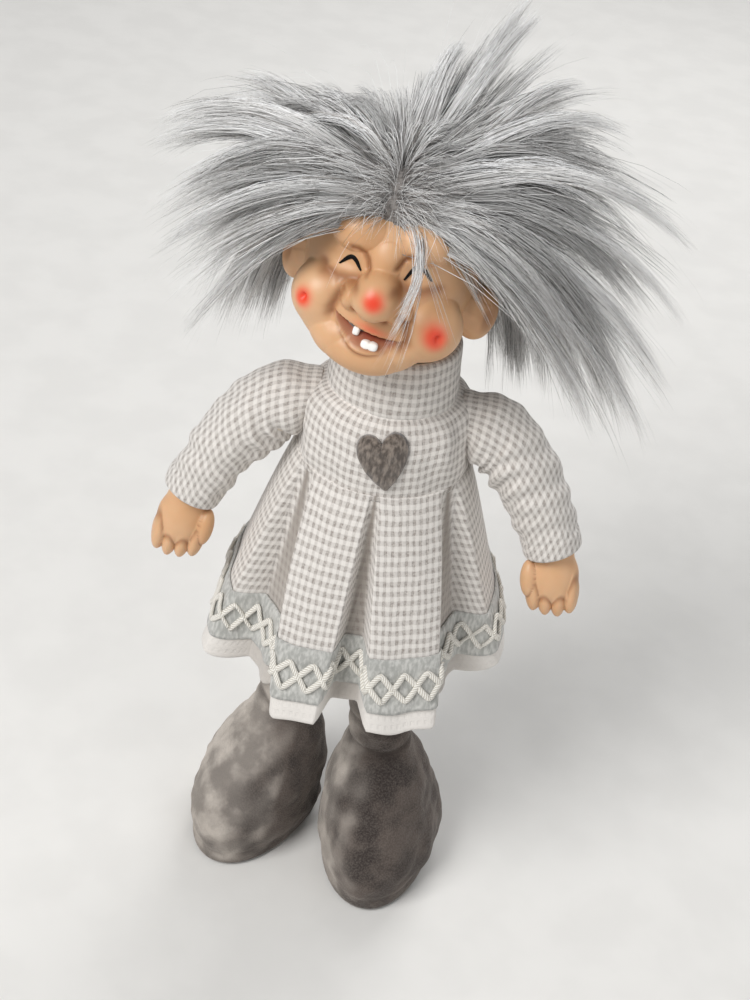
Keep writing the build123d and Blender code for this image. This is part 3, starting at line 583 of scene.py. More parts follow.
# Balls of the face in the head's frame: middle, half sizes
SOFT_BALLS = [
    ((0.8, -23.0, 4.0), (4.2, 4.2, 6.0)),  # bridge of the nose
    ((1.5, -22.4, -24.2), (9.6, 7.8, 7.2)),  # chin and jaw
    ((12.5, -16.0, -18.6), (7.4, 7.4, 7.4)),
    ((-12.5, -16.5, -19.5), (7.4, 7.4, 7.4)),
    ((8.5, -19.5, -22.4), (7.4, 7.2, 7.0)),
    ((-7.0, -20.0, -22.8), (7.6, 7.4, 7.2)),
    ((9.5, -19.6, 12.4), (8.0, 7.4, 6.4)),  # brows
    ((-9.5, -19.6, 10.4), (8.0, 7.4, 6.4)),
]
CRISP_BALLS = [
    ((1.3, -30.3, -4.4), (7.5, 8.0, 7.5)),  # nose and its wings
    ((8.0, -26.8, -8.0), (4.7, 4.3, 4.1)),
    ((-5.7, -26.8, -7.4), (4.7, 4.3, 4.1)),
    ((17.0, -16.0, -13.2), (11.2, 11.0, 11.0)),  # cheeks
    ((-15.6, -16.0, -13.0), (10.2, 10.6, 10.6)),
    ((29.8, 1.5, -10.4), (6.8, 5.2, 9.0)),  # ears
    ((-28.6, 1.5, -9.4), (6.2, 5.2, 9.0)),
]
# Folds as seen from the front, (out, rise): depth, width, line
FOLDS = [
    (1.1, 0.9, [(-9.8, 6.5), (-8.0, 6.7), (-6.0, 5.9), (-4.4, 4.2), (-3.4, 1.8)]),  # eyelids
    (1.1, 0.9, [(10.8, 9.3), (9.0, 9.5), (7.2, 8.7), (5.8, 7.0), (5.0, 4.6)]),
    (0.9, 1.8, [(-18.0, -2.2), (-17.1, -3.9), (-12.6, -4.2), (-9.2, -3.5), (-5.5, -2.5)]),  # under the eyes
    (0.9, 1.8, [(18.0, 0.2), (13.6, -1.6), (10.2, -1.2), (7.0, -0.2)]),
    (1.6, 1.4, [(-9.4, -6.0), (-10.5, -10.0), (-11.5, -13.6), (-11.2, -15.4)]),  # smile
    (1.6, 1.4, [(10.2, -8.4), (12.6, -13.0), (13.6, -17.0), (12.6, -19.4)]),
]
SOCKETS, SOCKET_HALF, SOCKET_DEPTH = [(-9.2, 1.0), (10.6, 3.8)], (6.5, 4.0), 1.9
NOSTRILS, NOSTRIL_RADIUS, NOSTRIL_DEPTH = [(-3.8, -10.3), (5.3, -11.4)], 1.15, 1.3
NOSE_SPOT, NOSE_SPOT_SIZE = (1.7, -38.3, -3.7), 3.3
CHEEK_SPOTS = [((-21.0, -25.8, -13.9), 3.2), ((20.9, -25.6, -12.2), 3.9)]
DIMPLES, DIMPLE_SIZE, DIMPLE_DEPTH = [(-21.0, -25.8, -13.7), (22.0, -25.0, -12.6)], 1.2, 1.5
EAR_CUPS, EAR_CUP_HALF, EAR_CUP_DEPTH = [(35.6, -2.0, -10.4), (-34.0, -2.0, -9.4)], (3, 3.2, 5.5), 2.2
EYE_ARCS = {
    "right": [(-12.6, -0.4), (-9.6, 2.8), (-5.7, 0.2)],
    "left": [(7.2, 1.4), (9.8, 6.0), (14.8, 2.5)],
}
EYE_LINE_RISE = 0.28
TOOTH_SQUARENESS, TOOTH_HALF_DEPTH = 3.2, 1.5


def egg(ways):
    """Reach of the skull along rays: halving steps to (x / width)2 + (y / depth)2 = 1 at that height."""
    low, high = np.zeros(ways.shape[:-1]), np.full(ways.shape[:-1], 40.0)
    share, width, front, back = HEAD_SECTIONS.T
    for _ in range(26):
        middle = (low + high) / 2
        x, y, z = np.moveaxis(ways * middle[..., None], -1, 0)
        bound = np.where(z > 0, HEAD_UP, HEAD_DOWN)
        height = np.clip(z / bound, -1, 1)
        half_width = HEAD_HALF_WIDTH * through(height, share, width)
        ahead, behind = HEAD_FRONT * through(height, share, front), HEAD_BACK * through(height, share, back)
        half_depth = np.where(y < 0, ahead, behind)
        inside = (np.hypot(x / half_width, y / half_depth) < 1) & (np.abs(z) < bound)
        low, high = np.where(inside, middle, low), np.where(inside, high, middle)
    return (low + high) / 2


def mouth_place(face):
    """Share along the mouth from -1 to 1 at its corners, and height above the line between them."""
    middle, half = MOUTH_CORNERS.mean(0), (MOUTH_CORNERS[1] - MOUTH_CORNERS[0]) / 2
    length = np.linalg.norm(half)
    along = (face - middle) @ half / length**2
    above = (face - middle) @ np.array([-half[1], half[0]]) / length
    return along, above


def head_reach(ways, opened=True):
    """Reach of the head along rays, and at each point the painted crease shade, the blush and the mouth's
    dark red.

    A smooth largest value of the skull and the balls of the face, less dents along the folds.
    """
    radius = melt([egg(ways), *(reach(ways, *ball) for ball in SOFT_BALLS)], 2.0)
    radius = melt([radius, *(reach(ways, *ball) for ball in CRISP_BALLS)], 1.0)
    points = ways * radius[..., None]
    face, ahead = points[..., [0, 2]], ease(4, 14, -points[..., 1])
    crease, holes = np.zeros_like(radius), np.zeros_like(radius)

    def spot(middle, size, power):
        away = np.linalg.norm(ways - unit(np.array(middle)), axis=-1) * np.linalg.norm(middle)
        return bell(away, size, power)

    for depth, width, line in FOLDS:
        dent = ahead * bell(near_line(face, line), width)
        radius = radius - depth * dent
        # painted shade along the folds
        crease = np.maximum(crease, 0.75 * dent)
    for socket, nostril in zip(SOCKETS, NOSTRILS):
        hollow = ahead * np.exp(-((((face - socket) / SOCKET_HALF) ** 2).sum(-1)))
        hole = ahead * np.exp(-((((face - nostril) / NOSTRIL_RADIUS) ** 2).sum(-1)))
        radius = radius - SOCKET_DEPTH * hollow - NOSTRIL_DEPTH * hole
        holes = np.maximum(holes, hole)
    along, above = mouth_place(face)
    bow = np.clip(1 - along**2, 0, 1)
    within = ahead * ease(-0.02, 0.05, bow)
    under_upper, over_lower = -UPPER_SAG * bow - above, above + OPENING_SAG * bow
    opening = within * ease(-LIP_EDGE, LIP_EDGE, under_upper) * ease(-LIP_EDGE, LIP_EDGE, over_lower)
    gum = np.clip(over_lower / GUM_RISE, 0, 1)
    lip = within * bell(above + (OPENING_SAG + 0.8) * bow, 0.8) * bow
    under = within * bell(above + LIP_SAG * bow, 0.7) * bow
    upper = ahead * bell(above - 0.8, 1.2) * bell(along - 0.12, 0.42)
    radius = radius + 0.7 * lip - 0.5 * under + 0.5 * upper - (MOUTH_DEPTH * opening * gum if opened else 0)
    # painted shade under the lower lip
    crease = np.maximum(crease, 0.8 * under)
    blush = spot(NOSE_SPOT, NOSE_SPOT_SIZE, 3) + 0.6 * upper
    for (cheek, size), dimple, ear in zip(CHEEK_SPOTS, DIMPLES, EAR_CUPS):
        blush = blush + spot(cheek, size, 3)
        pit = spot(dimple, DIMPLE_SIZE, 2)
        cup = bell(np.linalg.norm((points - ear) / EAR_CUP_HALF, axis=-1), 1)
        radius = radius - DIMPLE_DEPTH * pit - EAR_CUP_DEPTH * cup
        # painted shade in the dimples and ear cups
        crease = np.maximum(crease, np.maximum(0.5 * pit, 0.7 * cup))
    # the nostrils take the mouth's dark red as painted shade
    mouth = np.maximum(opening * (0.5 + 0.5 * gum), 0.8 * holes)
    return radius, {"crease": np.clip(crease, 0, 1), "blush": np.clip(blush, 0, 1), "mouth": mouth}


def head_place(local):
    """Points of the head's own frame in the part's frame."""
    return HEAD_MIDDLE + local @ HEAD_AXES.T


around = spaced((-180, -70, 60), (-70, 70, 296), (70, 180, 60))
up = np.append(spaced((89.4, 30, 42), (30, -62, 160), (-62, -89.4, 22)), -89.4)
ways = directions(around[None, :], up[:, None])
radius, tints = head_reach(ways)
skull = head_place(ways * radius[..., None])
fall = unit(skull - HEAD_MIDDLE)[..., 2]
flat = np.where(fall < -0.05, (UNDERSIDE_Z - HEAD_MIDDLE[2]) / np.minimum(fall, -0.05), 99)
over_collar = ease(UNDERSIDE_RADIUS + 2, UNDERSIDE_RADIUS - 1, np.hypot(skull[..., 0], skull[..., 1]))
radius = radius + over_collar * (np.minimum(radius, flat) - radius)
head = surface("head_shell_moulded", head_place(ways * radius[..., None]), values=tints)
place(head, VINYL, "head", "vinyl", "head_shell")

plug_path = np.linspace((0, 0, PIVOT_Z + 4), (0, 0, UNDERSIDE_Z + 4), 12)
plug = surface("neck_plug", level_pipe(plug_path, PLUG_RADIUS, 40))
place(plug, VINYL, "head", "vinyl")


def face_points(face, lift, opened=True):
    """Points on the face under (out, rise) seen from the front, lifted: steps along rays to their depth."""
    ahead = np.full(len(face), 26.0)
    for _ in range(40):
        way = unit(np.stack([face[:, 0], -ahead, face[:, 1]], -1))
        ahead = 0.5 * (ahead - way[:, 1] * head_reach(way[None], opened)[0][0])
    local = np.stack([face[:, 0], -ahead, face[:, 1]], -1)
    return local + lift * unit(local)


for side, corners in EYE_ARCS.items():
    steps = np.linspace(0, 1, 25)
    arc = np.stack([through(steps, [0, 0.42, 1], np.array(corners)[:, k]) for k in (0, 1)], -1)
    line = face_points(arc, 0.18)
    heading = unit(np.gradient(line, axis=0))
    outward = unit(line)
    thick = 0.2 + 0.5 * np.sin(np.pi * np.clip(steps, 0.02, 0.98)) ** 0.6
    lash = pipe(line, np.cross(heading, outward), outward, thick, EYE_LINE_RISE, 8)
    eye = surface(f"eye_line_{side}", head_place(lash))
    place(eye, INK, "head", "vinyl")


def tooth(name, out, rise, half_width, half_height, lobes):
    """A tooth on the gum, waisted between its lobes.

    It is a rounded box along rays, |x|p + |y|p + |z|p = 1 with p its squareness, stretched to its half sizes.
    """
    way = directions(np.linspace(-180, 180, 40, endpoint=False)[None], np.linspace(89, -89, 24)[:, None])
    box = way / (np.abs(way) ** TOOTH_SQUARENESS).sum(-1, keepdims=True) ** (1 / TOOTH_SQUARENESS)
    notch = 1 - 0.22 * (lobes - 1) * bell(box[..., 0], 0.16)
    seat = face_points(np.array([[out, rise]]), -1.3, opened=False)[0]
    full = np.ones_like(notch)
    shape = box * [half_width, TOOTH_HALF_DEPTH, half_height] * np.stack([full, full, notch], -1)
    return place(surface(name, head_place(seat + shape)), ENAMEL, "head", "vinyl")


tooth("tooth_upper", -2.1, -18.3, 1.1, 1.4, 1)
tooth("tooth_lower", 3.2, -20.9, 2.65, 1.4, 2)


# Wig


HAIRLINE = (HEAD_AXES @ rotation("X", HAIRLINE_SLOPE))[:, 2]
RINGS = np.array([0.0, 0.16, 0.36, 0.58, 0.78, 0.93])
STRAND_FACES = grid_faces(len(RINGS), 3, False, True)[:, [0, 3, 2, 1]]
STRAND_ENDS = np.array([[15, 16, 18], [16, 17, 18], [17, 15, 18], [0, 2, 1]])
STRAND_POINTS = 3 * len(RINGS) + 1
HAIR_TONES = np.array([shade(255, 254, 252), shade(243, 241, 239), shade(152, 146, 141), shade(54, 50, 48)])
# darker roots: partly the fur's own tone, partly painted shade deep in the hair
ROOT_TONE = np.array(shade(90, 84, 80))


def hairs(name, curves, girth, draw, odds, dark_to, wave=0.5, glow=1.0):
    """Hairs as three-sided spindles along root (1-t)2 + 2 bow t (1-t) + tip t2, waved, thinning to t = 1.

    Each hair has one of the tones, darker up to the share dark_to, and its own cell in the OFBake map.
    """
    roots, bows, tips = curves
    count = len(roots)
    t = np.append(RINGS, 1.0)[None, :, None]
    path = roots[:, None] * (1 - t) ** 2 + bows[:, None] * (2 * t * (1 - t)) + tips[:, None] * t**2
    heading = unit((bows - roots)[:, None] * (1 - t) + (tips - bows)[:, None] * t)
    side = unit(np.cross(heading, unit(draw.normal(size=(count, 1, 3)))))
    phase = draw.uniform(0, TAU, (count, 1, 1))
    path = path + side * wave * t * (np.sin(phase + 5 * t) - np.sin(phase))
    out = np.cross(side, heading)
    angle = np.arange(3) * TAU / 3
    thick = girth * draw.uniform(0.7, 1.3, (count, 1, 1)) * (1 - 0.82 * t[:, :-1] ** 1.5)
    rings = path[:, :-1, None] + thick[..., None] * (
        np.cos(angle)[:, None] * side[:, :-1, None] + np.sin(angle)[:, None] * out[:, :-1, None]
    )
    points = np.concatenate([rings.reshape(count, -1, 3), path[:, -1:]], 1).reshape(-1, 3)
    base = (np.arange(count) * STRAND_POINTS)[:, None, None]
    faces = [(base + STRAND_FACES).reshape(-1, 4), (base + STRAND_ENDS).reshape(-1, 3)]
    tone = HAIR_TONES[draw.choice(4, count, p=odds)] * draw.uniform(0.86, 1.1, (count, 1)) * glow
    along = np.append(np.repeat(RINGS, 3), 1.0)
    # each hair darkens towards its root: partly the fur's own tone, partly painted shade
    light = ease(-0.12, dark_to, along)[None, :, None]
    root_tone = np.minimum(ROOT_TONE, tone)[:, None]
    colour = np.clip(root_tone + light * (tone[:, None] - root_tone), 0, 1)
    colour[..., 3] = 1
    cells = int(np.ceil(np.sqrt(count)))
    cell = np.stack([np.arange(count) % cells, np.arange(count) // cells], -1)[:, None]
    inside = np.stack([0.2 + 0.3 * np.append(np.tile(np.arange(3), len(RINGS)), 1.0), 0.1 + 0.8 * along], -1)
    uv = ((cell + inside) / cells).reshape(-1, 2)
    piece = make_piece(name, points, faces, uv, faces, {"tone": colour.reshape(-1, 4)}, "OFBake")
    return place(piece, HAIR, "head", "hair")


def seen(column, row, depth):
    """The place, from the head's middle, that a pixel of the view shows: its ray meets the plane y = depth.

    It is rounded to a millimetre, which is finer than a tuft's tip can be read.
    """
    lean, elevation = np.radians(VIEW_LEAN), np.radians(VIEW_ELEVATION)
    back = np.array([0, -np.cos(elevation), np.sin(elevation)])
    level, steep = np.array([1.0, 0, 0]), np.cross(back, [1.0, 0, 0])
    across = np.cos(lean) * level + np.sin(lean) * steep
    upright = np.cos(lean) * steep - np.sin(lean) * level
    pixels = LENS / SENSOR * PICTURE_HEIGHT
    out, rise = (column - PICTURE_WIDTH / 2) / pixels, (PICTURE_HEIGHT / 2 - row) / pixels
    ray = out * across + rise * upright - back
    eye = VIEW_TARGET + VIEW_DISTANCE * back
    return np.round(eye + (depth - eye[1]) / ray[1] * ray - HEAD_MIDDLE)


# The lie of the hair: degrees round and up of a root, its tip from the head's middle, the lift of its bow.
# A tip that is seen was read on the photograph, with a guessed depth. The others were set or moved one by
# one.
HAIR_FLOW = np.array([
    (-14, 50, *seen(205, 302, -38), 16),
    (-32, 44, *seen(182, 334, -30), 16),
    (-26, 60, *seen(166, 258, -26), 18),
    (-52, 50, *seen(160, 215, -14), 18),
    (-46, 70, *seen(150, 165, 0), 26),
    (-76, 52, *seen(160, 128, 10), 20),
    (-76, 70, *seen(190, 118, 20), 22),
    (-104, 58, *seen(236, 88, 34), 10),
    (-72, 32, *seen(196, 300, -4), 16),
    (-96, 32, *seen(214, 335, 14), 18),
    (-124, 36, -46, 37, -58, 18),
    (4, 48, *seen(545, 420, -34), 22),
    (20, 44, *seen(598, 442, -28), 22),
    (38, 42, 86, -15, -47, 24),
    (12, 62, 92, -11, -27, 26),
    (40, 58, 92, -3, -9, 26),
    (26, 76, 89, 7, 10, 26),
    (66, 60, *seen(668, 190, 12), 20),
    (62, 78, *seen(640, 140, 22), 20),
    (96, 64, *seen(598, 88, 34), 12),
    (74, 40, 83, 3, -54, 24),
    (98, 38, 68, 23, -64, 22),
    (120, 36, 52, 42, -66, 20),
    (152, 64, *seen(530, 4, 55), 2),
    (178, 74, 8, 49, 45, 6),
    (202, 60, -11, 57, 27, 12),
    (226, 62, -29, 52, 24, 14),
    (244, 72, -45, 39, 24, 16),
    (138, 34, 46, 52, -42, 18),
    (160, 44, 24, 67, 6, 18),
    (180, 34, 0, 66, -30, 18),
    (204, 44, -26, 63, -4, 18),
    (222, 34, -45, 51, -42, 18),
    (112, 8, 48, 32, -62, 12),
    (150, 4, 26, 46, -52, 10),
    (180, -4, 0, 48, -54, 8),
    (210, 4, -26, 46, -52, 10),
    (248, 8, -44, 30, -58, 12),
], float)
GUIDE_WAYS = directions(HAIR_FLOW[:, 0], HAIR_FLOW[:, 1])
PARTING = np.array([np.cos(np.radians(PARTING_ROUND)), np.sin(np.radians(PARTING_ROUND)), 0])


def hair_flow(way):
    """Tip, and lift of the bow, for roots along unit vectors: means of the guides, each weighted by
    exp(-(angle / spread)2). At the front, guides across the parting count as 90 degrees further off.
    """
    angle = np.degrees(np.arccos(np.clip(way @ GUIDE_WAYS.T, -1, 1)))
    front, guide_front = way[:, 1] < -0.12, GUIDE_WAYS[:, 1] < -0.12
    across = (way @ PARTING)[:, None] * (GUIDE_WAYS @ PARTING) < 0
    angle = angle + 90 * (across & front[:, None] & guide_front)
    weight = np.exp((angle.min(1, keepdims=True) ** 2 - angle**2) / GUIDE_SPREAD**2)
    mean = weight @ HAIR_FLOW[:, 2:] / weight.sum(1, keepdims=True)
    return HEAD_MIDDLE + mean[:, :3], mean[:, 3:]


def root_at(way):
    """The root of a hair on the cap along a unit vector from the head's middle."""
    return HEAD_MIDDLE + LOCK_ROOT * way


def scalp(draw, count, span=(0, 360)):
    """Unit vectors to seeded places on the cap between two degrees round."""
    way = unit(draw.normal(size=(90000, 3)))
    turn = np.degrees(np.arctan2(way[:, 0], -way[:, 1]))
    inside = ((turn - span[0]) % 360 < span[1] - span[0]) & (LOCK_ROOT * way @ HAIRLINE > HAIRLINE_RISE + 1)
    return way[inside][:count]


def kept_in(roots, tips):
    """Tips drawn back along the line to their roots, into the hair's box and over the shoulders.

    So that a turned head clears the sleeves, the lowest height falls with the distance from the neck's axis.
    Behind the left ear, where a turn carries the hair past the sleeve, it may hang lower.
    """
    way = tips - roots
    low = np.tile(HAIR_LOW, (len(tips), 1))
    aside = np.abs(np.degrees(np.arctan2(tips[:, 0], -tips[:, 1])) - LOW_TUFT_ROUND)
    raised = np.interp(np.linalg.norm(tips[:, :2], axis=1), *SHOULDER_ROOM) - HAIR_LOW[2]
    low[:, 2] += raised * np.interp(aside, LOW_TUFT_SPAN, (0.2, 1))
    room = np.where(way > 0, HAIR_HIGH - roots, low - roots) / np.where(np.abs(way) < 1e-6, 1e-6, way)
    return roots + way * np.clip(room.min(1, keepdims=True), 0.3, 1)


def shorten(roots, bows, tips, share):
    """Root, bow and tip of the first share of each curve root (1-t)2 + 2 bow t (1-t) + tip t2."""
    end = roots * (1 - share) ** 2 + bows * 2 * share * (1 - share) + tips * share**2
    return roots, roots + share * (bows - roots), end


def gore_hairs(gore, count, seed):
    """Hairs of one gore: roots evenly over it, tips that draw together into tufts, bows lifted between."""
    draw = np.random.default_rng(seed)
    way = scalp(draw, count, GORES[gore])
    count = len(way)
    tufts = way[: count // TUFT_HAIRS]
    tuft = (way @ tufts.T).argmax(1)
    roots = root_at(way)
    own_tips, lift = hair_flow(way)
    tuft_tips = hair_flow(tufts)[0] + draw.normal(0, 4.5, tufts.shape)
    tips = tuft_tips[tuft] + TUFT_LOOSENESS * (own_tips - tuft_tips[tuft]) + draw.normal(0, 1.1, way.shape)
    length = draw.uniform(0.84, 1.1, len(tufts))[tuft, None]
    tips = kept_in(roots, roots + length * (tips - roots))
    lift = lift * draw.uniform(0.75, 1.2, len(tufts))[tuft, None]
    bows = 0.55 * roots + 0.45 * tips + 6 * way + draw.normal(0, 1.0, way.shape)
    bows = bows + lift * UPWARDS + draw.normal(0, 1.6, tufts.shape)[tuft]
    curves = shorten(roots, bows, tips, draw.uniform(0.66, 1.0, (count, 1)))
    glow = draw.uniform(0.55, 1.2, len(tufts))[tuft, None]
    piece = hairs(f"wig_{gore}_hair", curves, 0.11, draw, TONE_ODDS["gore"], 0.32, glow=glow)
    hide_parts(f"wig_{gore}")
    return piece


for seed, gore in enumerate(GORES):
    gore_hairs(gore, HAIR_COUNTS["gore"], 100 + seed)

# Long wisps that stand out of the mass: degrees round and up of the root, tip from the head's middle, lift
WISPS = np.array([
    (150, 66, 30, 58, 66, 3),
    (146, 72, 34, 54, 62, 8),
    (178, 74, 12, 49, 49, 16),
    (-104, 58, -59, 37, 32, 14),
    (96, 66, 50, 37, 47, 16),
    (72, 72, 66, 26, 38, 20),
    (-60, 66, -79, 8, 24, 26),
    (-48, 60, -80, 6, 19, 24),
    (-30, 58, -69, -22, 0, 20),
    (-34, 46, -60, -27, -25, 18),
    (30, 70, 92, 6, 12, 28),
    (44, 58, 94, -2, -10, 28),
    (20, 60, 92, -10, -28, 28),
    (34, 44, 90, -15, -47, 26),
    (16, 46, 72, -24, -42, 24),
], float)


def wisps(count, seed):
    """Hairs that gather into the long wisps: each wisp tapers from a small patch of the cap to one point."""
    draw = np.random.default_rng(seed)
    wisp = draw.integers(0, len(WISPS), count)
    way = unit(directions(WISPS[wisp, 0], WISPS[wisp, 1]) + draw.normal(0, 0.07, (count, 3)))
    roots = root_at(way)
    tips = kept_in(roots, HEAD_MIDDLE + WISPS[wisp, 2:5] + draw.normal(0, 1.2, (count, 3)))
    bows = 0.5 * (roots + tips) + 5 * way + WISPS[wisp, 5:] * UPWARDS + draw.normal(0, 0.9, (count, 3))
    curves = shorten(roots, bows, tips, draw.uniform(0.72, 1.0, (count, 1)))
    return hairs("wig_wisps", curves, 0.12, draw, TONE_ODDS["wisps"], 0.32)


wisps(HAIR_COUNTS["wisps"], 151)

cap_up = np.linspace(89, -40, 80)
cap_ways = directions(np.linspace(-180, 180, 160, endpoint=False)[None], cap_up[:, None])
cap_base = egg(cap_ways @ HEAD_AXES)
cap_points = HEAD_MIDDLE + cap_ways * cap_base[..., None]
above_line = (cap_points - HEAD_MIDDLE) @ HAIRLINE - HAIRLINE_RISE
thickness = np.where(above_line > 0, 0.3 + 2.0 * ease(0, 5, above_line), -2.0)
cap = surface("wig_backing", HEAD_MIDDLE + cap_ways * (cap_base + thickness)[..., None])
place(cap, BACKING, "head", "hair")


def undercoat(count, seed):
    """Short hairs all over the cap: each leans outwards and along the flow of the long ones."""
    draw = np.random.default_rng(seed)
    parted = directions(PARTING_ROUND + draw.normal(0, 9, count // 5), draw.normal(62, 12, count // 5))
    parted = parted[LOCK_ROOT * parted @ HAIRLINE > HAIRLINE_RISE + 1]
    way = np.concatenate([scalp(draw, count - len(parted)), parted])
    roots = root_at(way)
    lie = unit(0.45 * way + 0.7 * unit(hair_flow(way)[0] - roots) + draw.normal(0, 0.3, way.shape))
    length = draw.uniform(6, 18, (len(way), 1))
    curves = roots, roots + way * length * 0.55, roots + lie * length
    # darker tones up to a longer share: painted shade in the gaps, over the underfur's own darker tone
    return hairs("wig_undercoat", curves, 0.1, draw, TONE_ODDS["undercoat"], 0.6, 0.8)


undercoat(HAIR_COUNTS["undercoat"], 211)


def stray_hairs(count, seed):
    """Loose single hairs that leave the flow away from the face: long, thin, and more of them dark."""
    draw = np.random.default_rng(seed)
    way = scalp(draw, count, (42, 318))
    roots = root_at(way)
    tips, lift = hair_flow(way)
    tips = roots + (tips - roots) * draw.uniform(0.85, 1.15, (len(way), 1)) + draw.normal(0, 8, way.shape)
    tips = kept_in(roots, tips)
    bows = 0.5 * (roots + tips) + 6 * way + lift * draw.uniform(0.5, 1.5, (len(way), 1)) * UPWARDS
    return hairs("stray_hairs", (roots, bows, tips), 0.075, draw, TONE_ODDS["stray"], 0.2, 1.2)


stray_hairs(HAIR_COUNTS["stray"], 307)

# The fringe's wisps in the head's frame (out, -ahead, rise): tips with the odds of each, and the bow of all
FRINGE_TIPS = np.array([
    (8.8, -37.0, -12.0),
    (7.6, -39.5, -20.0),
    (10.5, -35.5, -26.0),
    (13.0, -35.0, -24.0),
    (9.5, -36.0, -4.0),
])
FRINGE_ODDS = (0.42, 0.06, 0.06, 0.06, 0.4)
FRINGE_BOW = np.array([17.0, -38.0, 10.0])


def fringe(count, seed):
    """The thin fringe: hairs from the parting that swing past the figure's left eye, clear of the face."""
    draw = np.random.default_rng(seed)
    wisp = draw.choice(len(FRINGE_TIPS), count, p=FRINGE_ODDS)
    start = np.stack([draw.normal(2.5, 1.6, count), np.full(count, -17.0), draw.normal(20.5, 1.0, count)], -1)
    roots = unit(start) * (LOCK_ROOT + 0.5)
    tips = FRINGE_TIPS[wisp] + draw.normal(0, 1, (count, 3)) * [0.8, 0.5, 2.0]
    bows = FRINGE_BOW + draw.normal(0, 1.2, (count, 3))
    curves = [head_place(points) for points in (roots, bows, tips)]
    return hairs("wig_fringe", curves, 0.09, draw, TONE_ODDS["fringe"], 0.2)


fringe(HAIR_COUNTS["fringe"], 401)


# Torso and dress


def torso_half(height):
    """Half width and half depth of the stuffed body at a height."""
    rise, width, depth = TORSO_SECTIONS.T
    return through(height - HIP_Z, rise, width), through(height - HIP_Z, rise, depth)


def ovals(heights, width, depth, columns):
    """Ovals at each height: x = width sin(a), y = -depth cos(a)."""
    angle = angles(columns)
    x, y = width[:, None] * np.sin(angle), -depth[:, None] * np.cos(angle)
    return np.stack([x, y, heights[:, None] + 0 * angle], -1)


# the trunk is rounded off below: heights, and how far the ovals draw in there
heights = np.concatenate([[152, 152.4, 153.5], np.linspace(155.5, TRUNK_TOP, 40)])
shrink = np.concatenate([[-9, -4, -1.2], np.zeros(40)])
width, depth = torso_half(heights)
trunk = ovals(heights, width + shrink, depth + shrink, 160)
trunk += 0.35 * normals(trunk) * lumps(trunk, 16, 5)[..., None]
trunk = place(surface("stuffed_torso_calico", trunk[::-1]), CALICO, "torso", "body_cloth", "stuffed_torso")

# height, half width, half depth: the bodice is cut wider over the shoulders than the body
BODICE_SECTIONS = np.array([
    (188.4, 30.0, 28.4),
    (190.0, 29.6, 27.9),
    (196.0, 29.4, 27.7),
    (202.0, 29.2, 27.2),
    (209.0, 29.0, 25.3),
    (213.0, 27.6, 23.8),
    (216.0, 24.8, 22.2),
    (217.6, 21.8, 20.7),
    (218.4, 19.4, 19.0),
])
yoke = np.concatenate([[218.4, 218.2, 217.9], np.linspace(217.6, 216, 9)])
outer = np.concatenate([yoke, np.linspace(215.5, WAIST_Z - 1.6, 60)])
inner = np.linspace(WAIST_Z - 1.0, 217.4, 16)
height, width, depth = BODICE_SECTIONS.T
outside_half = [through(outer, height, half) for half in (width, depth)]
inside_half = [
    np.minimum(body + 0.7, through(inner, height, half) - 0.9)
    for body, half in zip(torso_half(inner), (width, depth))
]
widths, depths = (np.concatenate(halves) for halves in zip(outside_half, inside_half))
bodice = ovals(np.concatenate([outer, inner]), widths, depths, 220)
at_the_sides = ease(8, 26, np.abs(bodice[..., 0]))
off_the_edges = ease(189, 194, bodice[..., 2]) * ease(217, 213, bodice[..., 2])
folds = lumps(bodice * [1, 1, 0.55], 15, 12) * at_the_sides * off_the_edges
outside = np.concatenate([np.ones(len(outer)), np.zeros(len(inner))])[:, None]
bodice = bodice + (outside * (0.9 * folds + 0.25 * lumps(bodice, 9, 4)))[..., None] * normals(bodice)
bodice = place(surface("bodice_cloth", bodice, "loop"), CHECK, "torso", "check_cloth", "bodice")

# radius and height round the folded collar, outside from its foot, over the fold and down inside
COLLAR_PROFILE = np.array([
    (20.2, 216.7), (21.2, 216.8), (21.8, 218.0), (21.6, 222.0), (21.1, 227.0), (20.7, 231.5), (20.3, 234.4),
    (19.6, 235.9), (18.5, 236.3), (17.4, 235.7), (16.8, 234.0), (16.6, 229.0), (16.7, 222.0), (16.9, 217.8),
    (18.4, 216.8),
])
turn = np.linspace(0, 1, 64, endpoint=False)
loop_knots = np.linspace(-2, len(COLLAR_PROFILE) + 1, len(COLLAR_PROFILE) + 4) / len(COLLAR_PROFILE)
looped = np.concatenate([COLLAR_PROFILE[-2:], COLLAR_PROFILE, COLLAR_PROFILE[:2]])
collar_radius, collar_height = (through(turn, loop_knots, looped[:, k])[::-1] for k in (0, 1))
collar = ovals(collar_height, collar_radius, collar_radius, 180)
sag = lumps(collar * [1, 1, 1.4], 22, 21) * ease(18.5, 20.5, collar_radius)[:, None]
collar = collar + (0.55 * sag)[..., None] * unit(collar * [1, 1, 0])
collar = place(surface("collar_cloth", collar, "loop"), CHECK, "torso", "check_cloth", "collar")


def pleats(share, degrees):
    """How deep a point lies in its pleat: 0 on the panels and their folds, 1 midway between two panels."""
    depth = np.zeros_like(share + degrees)
    for panel in range(len(WAIST_FOLDS)):
        following = (panel + 1) % len(WAIST_FOLDS)
        end = WAIST_FOLDS[panel][1] + share * (HEM_FOLDS[panel][1] - WAIST_FOLDS[panel][1])
        after = WAIST_FOLDS[following][0] + share * (HEM_FOLDS[following][0] - WAIST_FOLDS[following][0])
        after = after + 360 * (following == 0)
        off = np.abs((degrees - (end + after) / 2 + 180) % 360 - 180)
        depth = depth + np.clip(1 - off / ((after - end) / 2), 0, 1)
    return depth


def waves(degrees, terms):
    """Summed sine waves round the figure: height sin(number degrees + phase)."""
    return sum(height * np.sin(np.radians(number * degrees + phase)) for height, number, phase in terms)


